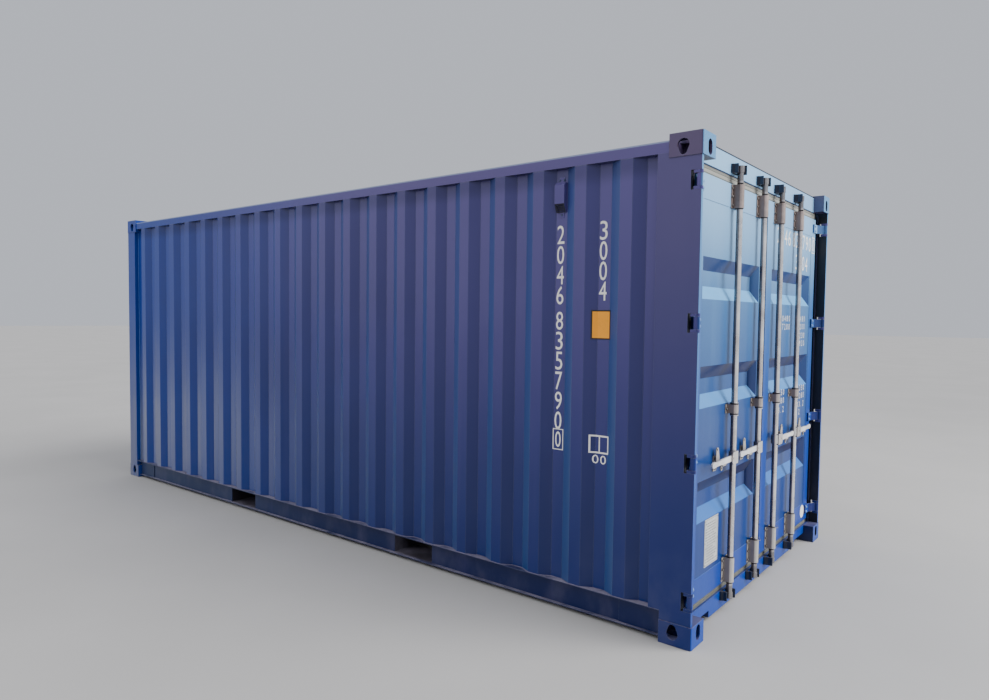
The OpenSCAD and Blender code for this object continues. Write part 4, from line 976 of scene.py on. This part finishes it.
class CONTAINER_OT_floor_screws(Operator):
    """Screws the floor boards to the cross members"""

    bl_idname = "container.floor_screws"
    bl_label = "Add the floor screws"

    def execute(self, context):
        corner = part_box("floor_boards")[1]
        up = Vector((0, 0, 1))
        rows = sorted({round((low.x + high.x) / 2, 3) for low, high in solids("cross_members")})
        columns = [sign * y for _, sign in SIDES for y in (0.10, 0.36, 0.62, 0.88, corner.y - 0.04)]
        places = [(Vector((x, y, corner.z - 0.0008)), up) for x in rows for y in columns]
        radius = context.scene.container_fasteners.screw_radius
        heads("floor_screws", places, "container", "floor_plywood", "bolt_metal", radius, 0.12)
        return {"FINISHED"}


class CONTAINER_OT_side_marks(Operator):
    """Paints plain digits, outlined boxes and an amber plate on the side walls"""

    bl_idname = "container.side_marks"
    bl_label = "Add the side marks"

    def execute(self, context):
        look = context.scene.container_marks
        white = plain_film("mark_white", look.white)
        amber = plain_film("mark_amber", look.amber, 0.42)
        black = plain_film("mark_black", (0.012, 0.012, 0.014))
        tall, wide = look.digit_height, look.digit_width
        for side, sign in SIDES:
            skin = Skin(side + "_side_wall", (0, -sign, 0), sign * 2.0)
            turned = sign > 0

            def across(x, width):
                """Where a mark starts that starts at x on the left wall."""
                return -x - width if turned else x

            def digit(char, x, z, height, width):
                return digit_shape(char, across(x, width), z, height, width, turned)

            def frame_at(x, z, width, height, line):
                return outline(across(x, width), z, width, height, line)

            works = []
            z = 2.187 - tall
            for char, step in zip("2046835790", (0.114, 0.114, 0.114, 0.144) + (0.114,) * 6):
                works.append(digit(char, 2.188 - wide / 2, z, tall, wide))
                z -= step
            works.append(frame_at(2.155, 0.911, 0.070, 0.121, 0.005))
            works.append(digit("0", 2.171, 0.926, tall * 0.88, wide * 0.8))
            z = 2.194 - tall
            for char in "3004":
                works.append(digit(char, 2.441, z, tall, wide))
                z -= 0.1095
            works.append(frame_at(2.403, 0.923, 0.117, 0.101, 0.009))
            works.append(patch(across(2.4575, 0.007), 0.932, 0.007, 0.083))
            works += [digit("0", x, 0.866, 0.048, 0.036) for x in (2.421, 2.468)]
            slot = ("container", "side_wall_paint")
            decal(side + "_digits", works, skin, look.lift, *slot, white)
            edge = frame_at(2.403, 1.550, 0.115, 0.161, 0.008)
            decal(side + "_plate_edge", [edge], skin, look.lift * 1.5, *slot, black)
            plate = patch(across(2.408, 0.105), 1.555, 0.105, 0.151)
            decal(side + "_plate", [plate], skin, look.lift, *slot, amber)
        return {"FINISHED"}


class CONTAINER_OT_door_marks(Operator):
    """Adds the bare data plate, rows of plain digits and a pale disc to the doors"""

    bl_idname = "container.door_marks"
    bl_label = "Add the door marks"

    def execute(self, context):
        look = context.scene.container_marks
        self.add_plate(random.Random(context.scene.container_fasteners.seed))
        white = bpy.data.materials["mark_white"]
        works = []
        for tall, pitch, numbers in ((0.103, 0.080, LARGE_NUMBERS), (0.040, 0.048, SMALL_NUMBERS)):
            for text, y, z in numbers:
                for k, char in enumerate(text):
                    high, wide = (0.16, 0.16) if char == "." else (1, 0.56)
                    works.append(digit_shape(char, y + k * pitch, z, tall * high, tall * wide))
        skin = Skin("right_door_panel", (-1, 0, 0), 4.0)
        decal("right_door_digits", works, skin, look.lift, "right_leaf", "door_panel_paint", white)
        disc = bmesh.new()
        place = Matrix.Translation((0.997, 0.237, 0))
        bmesh.ops.create_circle(disc, cap_ends=True, segments=40, radius=0.047, matrix=place)
        box = outline(1.033, 2.168, 0.076, 0.118, 0.006)
        works = [box, digit_shape("0", 1.048, 2.182, 0.090, 0.046), disc]
        skin = Skin("right_door_frame", (-1, 0, 0), 4.0)
        decal("right_frame_marks", works, skin, look.lift, "right_leaf", "door_paint", white)
        return {"FINISHED"}

    def add_plate(self, chance):
        """The data plate: bare metal with a line round it, grey rules in place of text, and rivets."""
        skin = Skin("left_door_panel", (-1, 0, 0), 4.0)
        slot = ("left_leaf", "handle_zinc")
        metal = brushed("plate_metal", (0.72, 0.74, 0.74))
        decal("data_plate", [patch(-0.893, 0.320, 0.193, 0.261)], skin, 0.0012, *slot, metal)
        rules = [outline(-0.887, 0.326, 0.181, 0.249, 0.002)]
        gap = 0.006
        for k in range(15):
            y, end = -0.878 + chance.choice((0, 0, 0.02)), -0.722 + chance.uniform(-0.05, 0.008)
            while y < end:
                wide = chance.uniform(0.006, 0.024)
                rules.append(patch(y, 0.341 + 0.0150 * k, min(wide, end + gap - y), 0.0055))
                y += wide + gap
        grey = plain_film("rule_grey", (0.22, 0.24, 0.25))
        decal("data_plate_rules", rules, skin, 0.0016, *slot, grey)
        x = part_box("left_door_panel")[1].x + 0.0008
        places = [(Vector((x, y, z)), OUT) for y in (-0.884, -0.709) for z in (0.329, 0.4505, 0.572)]
        heads("data_plate_rivets", places, *slot, "bolt_metal", 0.003)


class CONTAINER_OT_lock_rings(Operator):
    """Hangs thin steel rings on the lower brackets of the two middle bars"""

    bl_idname = "container.lock_rings"
    bl_label = "Add the lock rings"

    def execute(self, context):
        zinc = bpy.data.materials["bolt_metal"]
        radius, rise, corners = 0.0235, 0.011, 24
        for side, sign in SIDES:
            y = sign * 0.172
            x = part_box(side + "_inner_locking_bar")[1].x - 0.019
            below = [b for b in solids(side + "_bar_brackets") if b[1].z < 0.5 and b[0].y < y < b[1].y]
            z = min(high.z for _, high in below) + 0.002
            ring = []
            for k in range(corners + 1):
                a = math.tau * k / corners
                place = (x + radius * math.cos(a), y + radius * math.sin(a), z + rise * (1 - math.cos(a)))
                ring.append(place)
            tube_run(side + "_lock_ring", [ring], side + "_leaf", "bracket_zinc", 0.0016, zinc, step=0.006)
        return {"FINISHED"}


class CONTAINER_OT_stage(Operator):
    """Sets the floor, the soft lights and the camera"""

    bl_idname = "container.stage"
    bl_label = "Set the stage"

    def execute(self, context):
        scene = context.scene
        look = scene.container_stage
        reach, drop = 90.0, -0.001
        mesh = bpy.data.meshes.new("studio_floor")
        corners = [(-reach, -reach, drop), (reach, -reach, drop), (reach, reach, drop), (-reach, reach, drop)]
        mesh.from_pydata(corners, [], [(0, 1, 2, 3)])
        floor = linked("studio_floor", mesh)
        net = Finish("studio_floor")
        net.shade = net.noise(0.6, 4).over(0.3, 0.7).tint(scaled(look.floor, 0.94), look.floor)
        mesh.materials.append(net.close(Roughness=0.85))
        world = bpy.data.worlds.new("studio_sky")
        scene.world = world
        world.use_nodes = True
        sky = world.node_tree.nodes["Background"]
        sky.inputs["Color"].default_value = (0.86, 0.90, 1.0, 1)
        sky.inputs["Strength"].default_value = look.sky
        for name, toward, spread, power in (
            ("key_light", (1.0, 0.35, 0.95), 40, look.key),
            ("top_light", (0.15, -0.3, 1.0), 90, look.top),
            ("fill_light", (-0.5, -1.0, 0.5), 70, look.fill),
        ):
            lamp = bpy.data.lights.new(name, "SUN")
            lamp.angle = math.radians(spread)
            lamp.energy = power
            self.placed_light(name, lamp, Vector(toward) * 8, Vector(toward))
        lamp = bpy.data.lights.new("door_light", "AREA")
        lamp.shape = "RECTANGLE"
        lamp.size, lamp.size_y = 4.5, 5.0
        lamp.energy = look.panel
        place = Vector((9.6, 3.5, 3.4))
        panel = self.placed_light("door_light", lamp, place, place - Vector((2.9, 0, 1.5)))
        panel.visible_glossy = False
        lens = bpy.data.cameras.new("camera")
        lens.lens = look.lens
        lens.sensor_width = 36.0
        lens.sensor_fit = "HORIZONTAL"
        lens.clip_end = 300.0
        camera = linked("camera", lens)
        camera.location = look.camera_place
        camera.rotation_euler = look.camera_turn
        scene.camera = camera
        return {"FINISHED"}

    def placed_light(self, name, lamp, place, back):
        """A light at a place, with its back to a direction."""
        holder = linked(name, lamp)
        holder.location = place
        holder.rotation_euler = back.to_track_quat("Z", "Y").to_euler()
        return holder


STEPS = (
    CONTAINER_OT_stage,
    CONTAINER_OT_paint,
    CONTAINER_OT_metal,
    CONTAINER_OT_trees,
    CONTAINER_OT_door_bolts,
    CONTAINER_OT_seal_lips,
    CONTAINER_OT_wall_details,
    CONTAINER_OT_floor_screws,
    CONTAINER_OT_side_marks,
    CONTAINER_OT_door_marks,
    CONTAINER_OT_lock_rings,
)
GROUPS = {
    "container_paint": PaintSettings,
    "container_metal": MetalSettings,
    "container_fasteners": FastenerSettings,
    "container_marks": MarkSettings,
    "container_stage": StageSettings,
}


class CONTAINER_PT_panel(Panel):
    """Sidebar panel that lists the steps and their settings"""

    bl_idname = "CONTAINER_PT_panel"
    bl_label = "Freight container"
    bl_space_type = "VIEW_3D"
    bl_region_type = "UI"
    bl_category = "Container"

    def draw(self, context):
        for step in STEPS:
            self.layout.operator(step.bl_idname)
        for key, group in GROUPS.items():
            box = self.layout.box()
            box.label(text=group.__doc__)
            for name in group.__annotations__:
                box.prop(getattr(context.scene, key), name)


CLASSES = (*GROUPS.values(), *STEPS, CONTAINER_PT_panel)


def register():
    for item in CLASSES:
        bpy.utils.register_class(item)
    for key, group in GROUPS.items():
        setattr(bpy.types.Scene, key, PointerProperty(type=group))


def unregister():
    for key in GROUPS:
        delattr(bpy.types.Scene, key)
    for item in reversed(CLASSES):
        bpy.utils.unregister_class(item)


def main():
    register()
    for step in STEPS:
        area, name = step.bl_idname.split(".")
        getattr(getattr(bpy.ops, area), name)()


if __name__ == "__main__":
    main()
